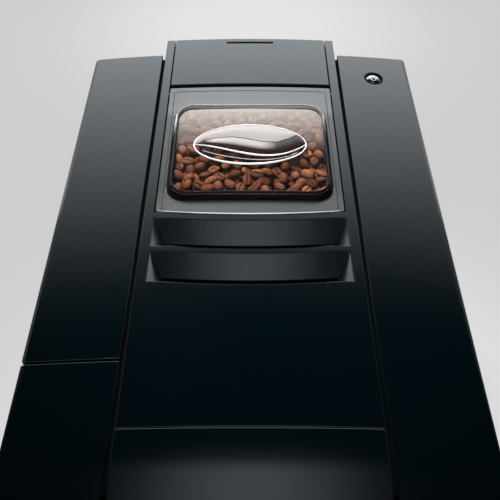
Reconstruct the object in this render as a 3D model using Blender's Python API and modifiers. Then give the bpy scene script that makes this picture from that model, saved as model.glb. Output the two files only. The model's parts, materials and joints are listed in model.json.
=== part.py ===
"""A countertop bean to cup coffee machine, as the separate pieces that it comes apart into.

Metres, +Z up, the front faces -Y, the origin is under the middle of the machine on the table.
The top is one sloping face with a slight crown; places on it are given as (x, v, w): x to the
right, v forwards down the slope from the side panels' back edge, w out of the surface.
"""

import math

import bmesh
import bpy
from mathutils import Matrix, Vector

MM = 0.001

# Whole machine
BODY_WIDTH = 280 * MM
BODY_DEPTH = 446 * MM
BODY_HEIGHT = 351 * MM
PROUD = 1.5 * MM  # tray front and mains inlet stand this far out of the casing
TOP_SLOPE = math.radians(8)
CROWN_RADIUS = 1500 * MM
ROLL_RADIUS = 75 * MM  # where the top rolls over into the front
ROLL_STEPS = 7
CROWN_STEP = 15 * MM
SIDE_SETBACK = 21.8 * MM  # the centre cover reaches this far behind the side panels
WALL = 2.5 * MM
EDGE_ROUND = 3 * MM
FIT = 0.3 * MM
OVERRUN = 5 * MM
BACK_Y = BODY_DEPTH / 2 - PROUD
FRONT_Y = PROUD - BODY_DEPTH / 2
SIDE_BACK_Y = BACK_Y - SIDE_SETBACK
SIDE_X = BODY_WIDTH / 2

# Feet and base
FOOT_HEIGHT = 6 * MM
FOOT_RADIUS = 13 * MM
FOOT_SIDE_INSET = 25 * MM
FOOT_FRONT_INSET = 31.5 * MM
FOOT_BACK_INSET = 29.7 * MM
BASE_THICKNESS = 6 * MM
BASE_INSET = 2 * MM
BASE_TOP = FOOT_HEIGHT + BASE_THICKNESS
CASING_LOW = BASE_TOP + FIT

# Panels: the centre cover lies between two grooves
SPINE_HALF = 75.9 * MM
GROOVE = 2.6 * MM
SPINE_DEPTH = 16 * MM
COVER_MARGIN = 6.5 * MM
COVER_FRONT_Y = FRONT_Y + ROLL_RADIUS + COVER_MARGIN
FLANGE_DEPTH = 12 * MM
SIDE_INNER_X = SPINE_HALF + GROOVE
CARRIER_INSET = SPINE_DEPTH + FIT

# Frame plates
FRAME_THICKNESS = 2.4 * MM
NICHE_DEPTH = 118.5 * MM
FRAME_FRONT_Y = FRONT_Y + NICHE_DEPTH
FRAME_BACK_Y = SIDE_BACK_Y - FIT
FRAME_OUTER_X = SPINE_HALF - FIT / 2
FRAME_INNER_X = FRAME_OUTER_X - FRAME_THICKNESS
INSIDE_HALF = FRAME_INNER_X - FIT  # half width of pieces carried between the frame plates
HOSE_WINDOW_HALF = 20 * MM
HOSE_WINDOW_LOW = 50 * MM
HOSE_WINDOW_HIGH = 90 * MM

# Cup niche
NICHE_TOP_DROP = 186 * MM
NICHE_TOP = BODY_HEIGHT - NICHE_TOP_DROP
NICHE_WALL = 1.7 * MM
NICHE_BACK_Y = FRAME_FRONT_Y - FIT - NICHE_WALL
NICHE_CEILING = 2.7 * MM
DOOR_SIDE = 22 * MM
DOOR_HALF = SPINE_HALF - DOOR_SIDE
DOOR_TOP = 101 * MM
NICHE_LINER = 2.2 * MM

# Flap over the powder chute
RAIL_WIDTH = 7.2 * MM
LID_SIDE_GAP = 0.8 * MM
RAIL_X = SPINE_HALF - RAIL_WIDTH
LID_HALF = RAIL_X - LID_SIDE_GAP
FLAP_BACK_V = -22 * MM
FLAP_FRONT_V = 42.8 * MM
FLAP_DEPTH = 9.5 * MM
SLOT_HALF = 21 * MM
SLOT_WIDTH = 2 * MM
SLOT_DEPTH = 1.4 * MM
SLOT_V = -16.1 * MM
PIN_RADIUS = 2 * MM
PIN_DROP = 6 * MM
FLAP_PIN_V = -17.5 * MM

# Bean container lid and its raised window
LID_BACK_V = 47 * MM
LID_FRONT_V = 184 * MM
LIP_BULGE = 4.3 * MM
LID_DEPTH = 12 * MM
LID_SKIN = 4 * MM
LID_PIN_V = 51 * MM
LID_GAP = 1 * MM
WINDOW_SIDE = 6.6 * MM
WINDOW_HALF = LID_HALF - WINDOW_SIDE
WINDOW_BACK_V = 77.8 * MM
WINDOW_FRONT_V = 176 * MM
WINDOW_RAISE = 7 * MM
WINDOW_CORNER = 13 * MM
WINDOW_EDGE = 2 * MM
WINDOW_FLANGE = 1.6 * MM
WINDOW_FLANGE_THICKNESS = 1.5 * MM
SEAL_WIDTH = 3 * MM
SEAL_SIDE_GAP = 0.4 * MM
SEAL_HALF = LID_HALF - SEAL_SIDE_GAP
SEAL_BACK_V = 73 * MM
SEAL_FRONT_V = 184.4 * MM

# Bean relief on the window: an oval ridge and an S shaped crease
RELIEF_V = 125.2 * MM
RELIEF_SIDE = 18.5 * MM
RELIEF_HALF_LENGTH = WINDOW_HALF - RELIEF_SIDE
RELIEF_HALF_WIDTH = 21.3 * MM
RIDGE_RADIUS = 0.8 * MM
CREASE_SINK_SHARE = 0.52
CREASE_LEAN_SHARE = 0.8

# Louvred steps in front of the lid
STEP_LIPS_V = (190.4 * MM, 219.4 * MM)
STEP_LENGTH = 24.5 * MM
STEP_DEPTH = 12.5 * MM
STEP_OVERHANG = 0.6 * MM
STEP_HALF = LID_HALF + STEP_OVERHANG
STEP_SIDE_RUN = 12.2 * MM
STEP_SLOT = 9 * MM
STEP_SLOT_SIDE = 9.5 * MM
STEP_SLOT_HALF = STEP_HALF - STEP_SLOT_SIDE
STEP_POCKET_SIDE = 9 * MM
STEP_POCKET_HALF = STEP_HALF - STEP_POCKET_SIDE
STEP_COLUMNS = 10

# Bean hopper and its beans
HOPPER_BACK_V = 54 * MM
HOPPER_FRONT_V = 184.4 * MM
HOPPER_MOUTH_SIDE = 6 * MM
HOPPER_MOUTH_HALF = LID_HALF - HOPPER_MOUTH_SIDE
HOPPER_MOUTH_BACK_V = 78 * MM
HOPPER_MOUTH_FRONT_V = 178 * MM
HOPPER_CORNER = 12 * MM
HOPPER_FLOOR_DROP = 59 * MM
HOPPER_FLOOR_Z = BODY_HEIGHT - HOPPER_FLOOR_DROP
HOPPER_NECK = 26 * MM
HOPPER_NECK_Z = HOPPER_FLOOR_Z - HOPPER_NECK
HOPPER_NECK_RADIUS = 20 * MM
HOPPER_OUTLET_RADIUS = 17 * MM
HOPPER_WALL = 2 * MM
CORNER_STEPS = 4
BEAN_CLEARANCE = 0.5 * MM
BEAN_TOP_DROP = 4 * MM

# Grinder
GRINDER_BACK = 176.5 * MM
GRINDER_Y = BACK_Y - GRINDER_BACK
GRINDER_RADIUS = 42 * MM
GRINDER_DROP = 95 * MM
GRINDER_HEIGHT = 56 * MM
GRINDER_TOP = BODY_HEIGHT - GRINDER_DROP
GRINDER_BOTTOM = GRINDER_TOP - GRINDER_HEIGHT
GRINDER_BORE = 30 * MM
GRINDER_LEDGE = 27 * MM
GRINDER_LEDGE_RISE = 34 * MM
GRINDER_LEDGE_Z = GRINDER_BOTTOM + GRINDER_LEDGE_RISE
GRINDER_FLOOR = 12 * MM
GRINDER_FLOOR_Z = GRINDER_BOTTOM + GRINDER_FLOOR
GRINDER_SHAFT_HOLE = 6 * MM
GRINDER_EAR_START = 36 * MM
GRINDER_EAR_HALF = 12 * MM
GRINDER_EAR_RISE = 22 * MM
GRINDER_EAR = 5 * MM
GRINDER_EAR_LOW = GRINDER_BOTTOM + GRINDER_EAR_RISE
GRINDER_EAR_HIGH = GRINDER_EAR_LOW + GRINDER_EAR
BURR_HEIGHT = 14 * MM
BURR_THROAT = 19 * MM
BURR_THROAT_TOP = 21 * MM
CONE_TOP_RADIUS = 8 * MM
CONE_RADIUS = 16 * MM
CONE_FLANGE_RADIUS = 24 * MM
CONE_FLANGE_RISE = 4 * MM
CONE_FLANGE = 6 * MM
CONE_FLANGE_BOTTOM = GRINDER_FLOOR_Z + CONE_FLANGE_RISE
CONE_FLANGE_TOP = CONE_FLANGE_BOTTOM + CONE_FLANGE
BURR_SHAFT_RADIUS = 5.7 * MM
MOTOR_RADIUS = 28 * MM
MOTOR_HEIGHT = 75 * MM
MOTOR_BOTTOM = GRINDER_BOTTOM - MOTOR_HEIGHT
MOTOR_NECK_RADIUS = 16 * MM
MOTOR_NECK = 8 * MM
KNOB_SIDE = 25 * MM
KNOB_X = LID_HALF - KNOB_SIDE
KNOB_V = 66.2 * MM
KNOB_RADIUS = 6.3 * MM
KNOB_HEIGHT = 8 * MM
KNOB_RIDGES = 12
KNOB_RIDGE = 0.8 * MM
CHUTE_RADIUS = 8 * MM
CHUTE_WALL = 1.2 * MM
CHUTE_REACH = 43 * MM
CHUTE_RISE = 20 * MM
CHUTE_SETBACK = 21 * MM
CHUTE_GAP = 5.7 * MM
CHUTE_PORT_HALF = 7 * MM

# Brew unit
BREW_BACK = 79.5 * MM
BREW_Y = BACK_Y - BREW_BACK
BREW_DROP = 247 * MM
BREW_PLATE_Z = BODY_HEIGHT - BREW_DROP
BREW_PLATE = 4 * MM
BREW_HALF_LENGTH = 46 * MM
BREW_SIDE_X = 44 * MM
BREW_SIDE = 3 * MM
BREW_SEAT_RISE = 22 * MM
BREW_SEAT_Z = BREW_PLATE_Z + BREW_SEAT_RISE
CYLINDER_RADIUS = 30 * MM
CYLINDER_BORE = 25 * MM
CYLINDER_HEIGHT = 50 * MM
CYLINDER_LOW = BREW_SEAT_Z + BREW_PLATE + FIT
CYLINDER_TOP = CYLINDER_LOW + CYLINDER_HEIGHT
PISTON_DISC = 8 * MM
PISTON_REST = 3 * MM  # above the cylinder's lower end
PISTON_ROD_RADIUS = 8 * MM
PISTON_ROD_LENGTH = 42 * MM
PISTON_HOLE_RADIUS = 12 * MM
GEAR_RADIUS = 24 * MM
GEAR_TOOTH = 2 * MM
GEAR_TEETH = 20
GEAR_THICKNESS = 8 * MM
# Chute from the grinder, ending above the cylinder
CHUTE_HIGH = (0, GRINDER_Y + CHUTE_REACH, GRINDER_BOTTOM + CHUTE_RISE)
CHUTE_LOW = (0, BREW_Y - CHUTE_SETBACK, CYLINDER_TOP + CHUTE_GAP)

# Powder funnel under the flap
DECK_DROP = 30 * MM
DECK_Z = BODY_HEIGHT - DECK_DROP
DECK_THICKNESS = 2.5 * MM
DECK_LENGTH = 64.5 * MM
DECK_FRONT_Y = BACK_Y - DECK_LENGTH
FUNNEL_TOP_BACK = 37.5 * MM
FUNNEL_TOP_Y = BACK_Y - FUNNEL_TOP_BACK
FUNNEL_BOTTOM_OFFSET = 8 * MM
FUNNEL_BOTTOM_Y = BREW_Y + FUNNEL_BOTTOM_OFFSET
FUNNEL_TOP_RADIUS = 26 * MM
FUNNEL_BOTTOM_RADIUS = 11 * MM
FUNNEL_GAP = 2.7 * MM
FUNNEL_BOTTOM_Z = CYLINDER_TOP + FUNNEL_GAP
FUNNEL_WALL = 1.8 * MM

# Water circuit in the right side
VALVE_BACK = 49.7 * MM
VALVE_Y = SIDE_BACK_Y - VALVE_BACK
METER_Y = VALVE_Y
PUMP_X = (FRAME_OUTER_X + SIDE_X - WALL) / 2
PUMP_RADIUS = 20 * MM
PUMP_SETBACK = 42 * MM
PUMP_LENGTH = 98 * MM
PUMP_BACK_Y = METER_Y - PUMP_SETBACK
PUMP_FRONT_Y = PUMP_BACK_Y - PUMP_LENGTH
PUMP_CAP_RADIUS = 13 * MM
PUMP_CAP = 10 * MM
SPIGOT_RADIUS = 4.5 * MM
METER_RADIUS = 14 * MM
METER_TOP = 44 * MM
METER_SPIGOT_TOP = 52 * MM
THERMOBLOCK_WIDTH = 40 * MM
THERMOBLOCK_SETBACK = 43 * MM
THERMOBLOCK_LENGTH = 120 * MM
THERMOBLOCK_FRONT_Y = FRAME_FRONT_Y + THERMOBLOCK_SETBACK
THERMOBLOCK_BACK_Y = THERMOBLOCK_FRONT_Y + THERMOBLOCK_LENGTH
THERMOBLOCK_LOW_Z = 92 * MM
THERMOBLOCK_HIGH_Z = 142 * MM
THERMOBLOCK_ROUND = 4 * MM

# Water tank in the left side
TANK_LID_DEPTH = 10 * MM
TANK_LID_GAP = 1.6 * MM
TANK_SIDE_GAP = 2 * MM
TANK_INNER_GAP = 3.4 * MM
TANK_FRONT_GAP = 10 * MM
TANK_BACK_GAP = 5.2 * MM
TANK_OUTER_X = WALL + TANK_SIDE_GAP - SIDE_X
TANK_INNER_X = -SIDE_INNER_X - TANK_INNER_GAP
TANK_FRONT_Y = FRAME_FRONT_Y + TANK_FRONT_GAP
TANK_BACK_Y = SIDE_BACK_Y - WALL - TANK_BACK_GAP
TANK_SEAM_REACH = 4.38 * MM
TANK_SEAM_V = (SIDE_BACK_Y - TANK_FRONT_Y + TANK_SEAM_REACH) / math.cos(TOP_SLOPE)
TANK_BOTTOM = 133 * MM
TANK_WALL = 2.2 * MM
TANK_CORNER = 6 * MM
TANK_HINGE_INSET = 1.25 * MM
TANK_HINGE_X = TANK_HINGE_INSET - SIDE_X
TANK_HINGE_DROP = 9 * MM
SHELF_THICKNESS = 4 * MM
SHELF_LEG = 16 * MM
VALVE_X = (TANK_OUTER_X + TANK_INNER_X) / 2
VALVE_BODY_RADIUS = 7.7 * MM
VALVE_SPIGOT_RADIUS = 5.7 * MM
VALVE_SPIGOT_TOP = 140 * MM
VALVE_BODY_BOTTOM = 126 * MM
VALVE_STEM_BOTTOM = 112 * MM
HOSE_RADIUS = 3.5 * MM
HOSE_STEPS = 5
# Route of the hose across the machine from the valve to the flow meter, as x and z in the
# plane y = VALVE_Y; the first and last three points keep to their pieces
HOSE_ROUTE = [
    (VALVE_X, 111.7 * MM),
    (VALVE_X, 98 * MM),
    (VALVE_X + 5 * MM, 82 * MM),
    (-88 * MM, 71 * MM),
    (-50 * MM, 67 * MM),
    (0 * MM, 66 * MM),
    (50 * MM, 68 * MM),
    (80 * MM, 74 * MM),
    (PUMP_X - 10 * MM, 73 * MM),
    (PUMP_X - 1 * MM, 63 * MM),
    (PUMP_X, 52.3 * MM),
]

# Controls
BUTTON_SHIFT = 1.3 * MM  # inwards from the panel's middle
BUTTON_X = (SIDE_INNER_X + SIDE_X) / 2 - BUTTON_SHIFT
BUTTON_V = 30.4 * MM
BUTTON_RADIUS = 6.5 * MM
BUTTON_RING_RADIUS = 7.7 * MM
BUTTON_FLANGE = 2.1 * MM
BUTTON_FLANGE_THICKNESS = 1.5 * MM
BUTTON_STEM_RADIUS = 3 * MM
BUTTON_STEM = 3 * MM
KEY_SIDE = 30 * MM
KEY_X = SPINE_HALF - KEY_SIDE
DISPLAY_SIDE = 17 * MM
DISPLAY_HALF = KEY_X - DISPLAY_SIDE
DISPLAY_RISE = 9 * MM
DISPLAY_HEIGHT = 42 * MM
DISPLAY_LOW = NICHE_TOP + DISPLAY_RISE
DISPLAY_HIGH = DISPLAY_LOW + DISPLAY_HEIGHT
DISPLAY_THICKNESS = 2.2 * MM
DISPLAY_FLANGE = 2 * MM
KEY_RISE = 15 * MM
KEY_PITCH = 15 * MM
KEY_HEIGHTS = tuple(NICHE_TOP + KEY_RISE + n * KEY_PITCH for n in range(3))
KEY_RADIUS = 5.5 * MM
KEY_PROUD = 0.9 * MM
KEY_FLANGE = 1.5 * MM
KEY_STEM_RADIUS = 2 * MM
KEY_STEM = 9.5 * MM
BOARD_GAP = 13 * MM
BOARD_SIDE = 7 * MM
BOARD_HALF = SPINE_HALF - BOARD_SIDE
BOARD_RISE = 7 * MM
BOARD_HEIGHT = 54 * MM
BOARD_LOW = NICHE_TOP + BOARD_RISE
BOARD_HIGH = BOARD_LOW + BOARD_HEIGHT
BOARD_THICKNESS = 1.6 * MM
POST_INSET = 5 * MM
POST_EDGE_LOW = 6 * MM
POST_EDGE_HIGH = 7 * MM
POST_X = BOARD_HALF - POST_INSET
POST_HEIGHTS = (BOARD_LOW + POST_EDGE_LOW, BOARD_HIGH - POST_EDGE_HIGH)
POST_RADIUS = 3 * MM

# Coffee spout
SPOUT_HALF = 30 * MM
SPOUT_SETOUT = 12.3 * MM
SPOUT_LENGTH = 70.7 * MM
SPOUT_BACK_Y = NICHE_BACK_Y - SPOUT_SETOUT
SPOUT_FRONT_Y = SPOUT_BACK_Y - SPOUT_LENGTH
SPOUT_CEILING_GAP = 5 * MM
SPOUT_HEIGHT = 44 * MM
SPOUT_HIGH = NICHE_TOP - SPOUT_CEILING_GAP
SPOUT_LOW = SPOUT_HIGH - SPOUT_HEIGHT
SPOUT_ROUND = 8 * MM
CARRIAGE_HALF = 13 * MM
CARRIAGE_DROP = 4 * MM
CARRIAGE_TOP_DROP = 2 * MM
CARRIAGE_LOW = SPOUT_LOW - CARRIAGE_DROP
CARRIAGE_HIGH = SPOUT_HIGH - CARRIAGE_TOP_DROP
NOZZLE_X = 11 * MM
NOZZLE_SETOUT = 44.7 * MM
NOZZLE_Y = SPOUT_BACK_Y - NOZZLE_SETOUT
NOZZLE_RADIUS = 6 * MM
NOZZLE_BORE = 2.5 * MM
NOZZLE_DROP = 10 * MM
NOZZLE_HEIGHT = 18 * MM
NOZZLE_LOW = SPOUT_LOW - NOZZLE_DROP
NOZZLE_HIGH = NOZZLE_LOW + NOZZLE_HEIGHT

# Drip tray, grid and grounds container
TRAY_SIDE_GAP = 3.5 * MM
TRAY_HALF = SPINE_HALF - TRAY_SIDE_GAP
TRAY_REACH = 143 * MM  # behind the niche wall
TRAY_BACK_Y = FRAME_FRONT_Y + TRAY_REACH
TRAY_TOP = 44 * MM
TRAY_WALL = 2.2 * MM
FASCIA_GAP = 0.4 * MM
FASCIA_HALF = SIDE_INNER_X - FASCIA_GAP
FASCIA_THICKNESS = 4 * MM
GRID_BACK_GAP = 5 * MM
GRID_BACK_Y = FRAME_FRONT_Y - GRID_BACK_GAP
GRID_LOW = 38.5 * MM
GRID_THICKNESS = 3.5 * MM
GRID_SLOTS = 9
GRID_SLOT_WIDTH = 3.8 * MM
GRID_MARGIN = 8 * MM
TRAY_LEDGE = 3 * MM
BIN_SIDE_GAP = 2 * MM
BIN_HALF = DOOR_HALF - BIN_SIDE_GAP
BIN_BACK_GAP = 6 * MM
BIN_BACK_Y = TRAY_BACK_Y - BIN_BACK_GAP
BIN_TOP = 98 * MM
BIN_WALL = 2 * MM
BIN_ROUND = 6 * MM

# Mains inlet and switch at the back
INLET_X = 32 * MM
SWITCH_X = -33 * MM
INLET_Z = 41 * MM
INLET_HALF_WIDTH = 14 * MM
INLET_HALF_HEIGHT = 11 * MM
INLET_FLANGE = 3 * MM
INLET_DEPTH = 20 * MM
SOCKET_HALF_WIDTH = 11.5 * MM
SOCKET_HALF_HEIGHT = 8 * MM
SOCKET_DEPTH = 15 * MM
CONTACT_HALF = 1 * MM
CONTACT_HALF_HEIGHT = 2.2 * MM
CONTACT_LENGTH = 12 * MM
CONTACT_SPACING = 7 * MM
CONTACT_STEP = 3 * MM
ROCKER_HALF_WIDTH = 9 * MM
ROCKER_HALF_HEIGHT = 10 * MM
ROCKER_DEPTH = 6 * MM
ROCKER_CLEARANCE = 1 * MM
ROCKER_TILT = math.radians(6)

for old in list(bpy.data.objects):
    bpy.data.objects.remove(old, do_unlink=True)

machine = bpy.data.collections.new("coffee_machine")
cutters = bpy.data.collections.new("cutters")
for collection in (machine, cutters):
    bpy.context.scene.collection.children.link(collection)


def finish(name, colour, roughness, metallic=0.0, transmission=0.0):
    """A plain Principled material."""
    material = bpy.data.materials.new(name)
    material.use_nodes = True
    shader = material.node_tree.nodes["Principled BSDF"]
    shader.inputs["Base Color"].default_value = (*colour, 1)
    shader.inputs["Roughness"].default_value = roughness
    shader.inputs["Metallic"].default_value = metallic
    shader.inputs["Transmission Weight"].default_value = transmission
    return material


# Helpers that make meshes in world coordinates


def take(bm, name):
    """Turn a bmesh into a mesh with its faces pointing out."""
    bmesh.ops.recalc_face_normals(bm, faces=bm.faces)
    mesh = bpy.data.meshes.new(name)
    bm.to_mesh(mesh)
    bm.free()
    return mesh


def box(low, high, round_axis=None, radius=0.0):
    """A box between two corners; its edges along one axis may be rounded."""
    bm = bmesh.new()
    bmesh.ops.create_cube(bm, size=1)
    low = Vector(low)
    high = Vector(high)
    bmesh.ops.scale(bm, vec=high - low, verts=bm.verts)
    bmesh.ops.translate(bm, vec=(low + high) / 2, verts=bm.verts)
    if radius:
        along = "XYZ".index(round_axis)
        edges = [e for e in bm.edges if e.verts[0].co[along] != e.verts[1].co[along]]
        bmesh.ops.bevel(bm, geom=edges, offset=radius, segments=3, profile=0.5, affect="EDGES")
    return take(bm, "box")


def rod(radius, start, end, end_radius=None, segments=32):
    """A round bar or a cone between two points."""
    start = Vector(start)
    end = Vector(end)
    run = end - start
    bm = bmesh.new()
    bmesh.ops.create_cone(
        bm, cap_ends=True, segments=segments, radius1=radius,
        radius2=radius if end_radius is None else end_radius, depth=run.length,
    )
    turn = run.to_track_quat("Z", "Y").to_matrix().to_4x4()
    bmesh.ops.transform(bm, matrix=Matrix.Translation((start + end) / 2) @ turn, verts=bm.verts)
    return take(bm, "rod")


def prism(outline, low, high, axis="X"):
    """A flat outline filled and extruded from low to high along an axis."""
    curve = bpy.data.curves.new("outline", "CURVE")
    curve.dimensions = "2D"
    curve.fill_mode = "BOTH"
    curve.extrude = (high - low) / 2
    spline = curve.splines.new("POLY")
    spline.points.add(len(outline) - 1)
    for point, (a, b) in zip(spline.points, outline):
        point.co = (a, b, 0, 1)
    spline.use_cyclic_u = True
    guide = bpy.data.objects.new("outline", curve)
    cutters.objects.link(guide)
    depsgraph = bpy.context.evaluated_depsgraph_get()
    mesh = bpy.data.meshes.new_from_object(guide.evaluated_get(depsgraph))
    bpy.data.objects.remove(guide, do_unlink=True)
    middle = (low + high) / 2
    rows = {
        "X": ((0, 0, 1, middle), (1, 0, 0, 0), (0, 1, 0, 0), (0, 0, 0, 1)),
        "Y": ((1, 0, 0, 0), (0, 0, -1, middle), (0, 1, 0, 0), (0, 0, 0, 1)),
        "Z": ((1, 0, 0, 0), (0, 1, 0, 0), (0, 0, 1, middle), (0, 0, 0, 1)),
    }
    bm = bmesh.new()
    bm.from_mesh(mesh)
    bmesh.ops.remove_doubles(bm, verts=bm.verts, dist=FIT / 100)
    bmesh.ops.dissolve_limit(bm, angle_limit=math.radians(0.01), verts=bm.verts, edges=bm.edges)
    bmesh.ops.transform(bm, matrix=Matrix(rows[axis]), verts=bm.verts)
    return take(bm, "prism")


def loft(rings, capped=True):
    """Quads between rings of points that have equal counts."""
    bm = bmesh.new()
    rows = [[bm.verts.new(point) for point in ring] for ring in rings]
    for upper, lower in zip(rows, rows[1:]):
        for i in range(len(upper)):
            j = (i + 1) % len(upper)
            bm.faces.new((upper[i], upper[j], lower[j], lower[i]))
    if not capped:
        mesh = bpy.data.meshes.new("loft")
        bm.to_mesh(mesh)
        bm.free()
        return mesh
    bm.faces.new(rows[0])
    bm.faces.new(rows[-1])
    return take(bm, "loft")


def sweep(points, radius, closed=False, resolution=2):
    """A round wire along points, as a closed mesh."""
    curve = bpy.data.curves.new("wire", "CURVE")
    curve.dimensions = "3D"
    curve.bevel_depth = radius
    curve.bevel_resolution = resolution
    curve.use_fill_caps = True
    spline = curve.splines.new("POLY")
    spline.points.add(len(points) - 1)
    for point, place in zip(spline.points, points):
        point.co = (*place, 1)
    spline.use_cyclic_u = closed
    guide = bpy.data.objects.new("wire", curve)
    cutters.objects.link(guide)
    depsgraph = bpy.context.evaluated_depsgraph_get()
    mesh = bpy.data.meshes.new_from_object(guide.evaluated_get(depsgraph))
    bpy.data.objects.remove(guide, do_unlink=True)
    bm = bmesh.new()
    bm.from_mesh(mesh)
    bmesh.ops.remove_doubles(bm, verts=bm.verts, dist=FIT / 100)
    return take(bm, "wire")


# Places on the sloping top


def top_z(y, inset=0.0):
    """Height of the top on the middle line, or of a face inset under it."""
    return BODY_HEIGHT + (y - BACK_Y) * math.tan(TOP_SLOPE) - inset / math.cos(TOP_SLOPE)


def slope_y(v):
    return SIDE_BACK_Y - v * math.cos(TOP_SLOPE)


def crown_drop(x):
    return x * x / (2 * CROWN_RADIUS)


def surface(x, v, w=0.0):
    """The point at (x, v, w)."""
    y = slope_y(v)
    z = top_z(y) - crown_drop(x)
    return Vector((x, y - w * math.sin(TOP_SLOPE), z + w * math.cos(TOP_SLOPE)))


def surface_frame(x, v, w=0.0):
    """A frame at (x, v, w) whose Z points out of the surface."""
    lean = Matrix.Rotation(x / CROWN_RADIUS, 4, "Y") @ Matrix.Rotation(TOP_SLOPE, 4, "X")
    return Matrix.Translation(surface(x, v, w)) @ lean


def crowned(mesh, keep_below=None, round_x=None):
    """Cut the mesh at stations across the machine and drop each point by the crown."""
    bm = bmesh.new()
    bm.from_mesh(mesh)
    xs = [vert.co.x for vert in bm.verts]
    first = math.floor(min(xs) / CROWN_STEP) + 1
    for n in range(first, math.ceil(max(xs) / CROWN_STEP)):
        if round_x is not None and abs(n * CROWN_STEP - round_x) < EDGE_ROUND * 1.5:
            continue
        geometry = bm.verts[:] + bm.edges[:] + bm.faces[:]
        bmesh.ops.bisect_plane(
            bm, geom=geometry, dist=FIT / 100, plane_co=(n * CROWN_STEP, 0, 0), plane_no=(1, 0, 0)
        )
    fixed = -BODY_DEPTH if keep_below is None else keep_below + FIT / 10
    for vert in bm.verts:
        if vert.co.z > fixed:
            vert.co.z -= crown_drop(vert.co.x)
    if round_x is not None:
        def outer(vert):
            return abs(vert.co.x - round_x) < FIT / 10

        edges = [
            e for e in bm.edges
            if outer(e.verts[0]) and outer(e.verts[1]) and len(e.link_faces) == 2
            and e.calc_face_angle(0) > 1 and max(v.co.z for v in e.verts) > fixed
        ]
        bmesh.ops.bevel(bm, geom=edges, offset=EDGE_ROUND, segments=2, profile=0.5, affect="EDGES")
    return take(bm, "crowned")


def top_outline(y_back, y_front, inset, z_end):
    """The top from back to front in the YZ plane, rolling over into the front if it gets there."""
    centre_y = FRONT_Y + ROLL_RADIUS
    centre_z = top_z(centre_y, ROLL_RADIUS)
    radius = ROLL_RADIUS - inset
    points = [(y_back, top_z(y_back, inset))]
    if y_front > centre_y:
        points.append((y_front, top_z(y_front, inset)))
        return points
    for i in range(ROLL_STEPS + 1):
        angle = math.pi / 2 + TOP_SLOPE + (math.pi / 2 - TOP_SLOPE) * i / ROLL_STEPS
        points.append((centre_y + radius * math.cos(angle), centre_z + radius * math.sin(angle)))
    points.append((FRONT_Y + inset, z_end))
    return points


def slab(x_low, x_high, y_back, y_front, inset, bottom_inset=None, bottom_z=None, round_x=None):
    """A body under the top surface, down to a face parallel to it or down to a level."""
    outline = top_outline(y_back, y_front, inset, bottom_z)
    front_y = outline[-1][0]
    if bottom_z is None:
        outline += [(front_y, top_z(front_y, bottom_inset)), (y_back, top_z(y_back, bottom_inset))]
    else:
        if y_front > FRONT_Y + ROLL_RADIUS:
            outline.append((front_y, bottom_z))
        outline.append((y_back, bottom_z))
    return crowned(prism(outline, x_low, x_high), bottom_z, round_x)


def lip_bulge(x):
    """How far the lid's front edge and the steps' lips bow forwards at x."""
    return LIP_BULGE * (1 - (x / LID_HALF) ** 2)


def rounded_outline(half_x, y_low, y_high, radius, steps=CORNER_STEPS):
    """A rectangle with round corners, as (x, y) points, anticlockwise from the +x side."""
    centres = (
        (half_x - radius, y_high - radius), (radius - half_x, y_high - radius),
        (radius - half_x, y_low + radius), (half_x - radius, y_low + radius),
    )
    points = []
    for quarter, (cx, cy) in enumerate(centres):
        for i in range(steps + 1):
            angle = (quarter + i / steps) * math.pi / 2
            points.append((cx + radius * math.cos(angle), cy + radius * math.sin(angle)))
    return points


def circle_outline(centre_y, radius, steps=CORNER_STEPS):
    """A circle with as many points as a rounded outline."""
    count = 4 * (steps + 1)
    angles = [(i + 1 / 2) / count * 2 * math.pi for i in range(count)]
    return [(radius * math.cos(a), centre_y + radius * math.sin(a)) for a in angles]


# Helpers that make objects


def piece(name, mesh, material, pivot=(0, 0, 0)):
    """A named sub-part; a moving one has its origin on its joint's axis."""
    mesh.name = name
    mesh.transform(Matrix.Translation(-Vector(pivot)))
    mesh.materials.clear()
    mesh.materials.append(material)
    obj = bpy.data.objects.new(name, mesh)
    obj.location = pivot
    machine.objects.link(obj)
    return obj


def cut(obj, mesh, operation="DIFFERENCE"):
    """Cut, join or limit a piece with a mesh given in world coordinates."""
    tool = bpy.data.objects.new(f"{obj.name}_cutter", mesh)
    tool.hide_render = True
    tool.display_type = "WIRE"
    cutters.objects.link(tool)
    modifier = obj.modifiers.new(operation.lower(), "BOOLEAN")
    modifier.operation = operation
    modifier.object = tool
    modifier.solver = "EXACT"
    return obj


def join(obj, mesh):
    return cut(obj, mesh, "UNION")


def turned(name, profile, material, frame, closed=False, steps=32):
    """A turned piece: a profile of (radius, height) points swept round the frame's Z axis."""
    mesh = bpy.data.meshes.new(name)
    verts = [(radius, 0, height) for radius, height in profile]
    edges = [(i, i + 1) for i in range(len(verts) - 1)]
    if closed:
        edges.append((len(verts) - 1, 0))
    mesh.from_pydata(verts, edges, [])
    mesh.materials.append(material)
    obj = bpy.data.objects.new(name, mesh)
    obj.matrix_world = frame
    machine.objects.link(obj)
    screw = obj.modifiers.new("turn", "SCREW")
    screw.steps = steps
    screw.render_steps = steps
    screw.use_merge_vertices = True
    screw.merge_threshold = FIT / 10
    screw.use_smooth_shade = True
    return obj


def upright(x, y, z=0.0):
    return Matrix.Translation((x, y, z))


def facing_front(x, y, z):
    """A frame whose Z points out of the front."""
    return Matrix.Translation((x, y, z)) @ Matrix.Rotation(math.pi / 2, 4, "X")


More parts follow.
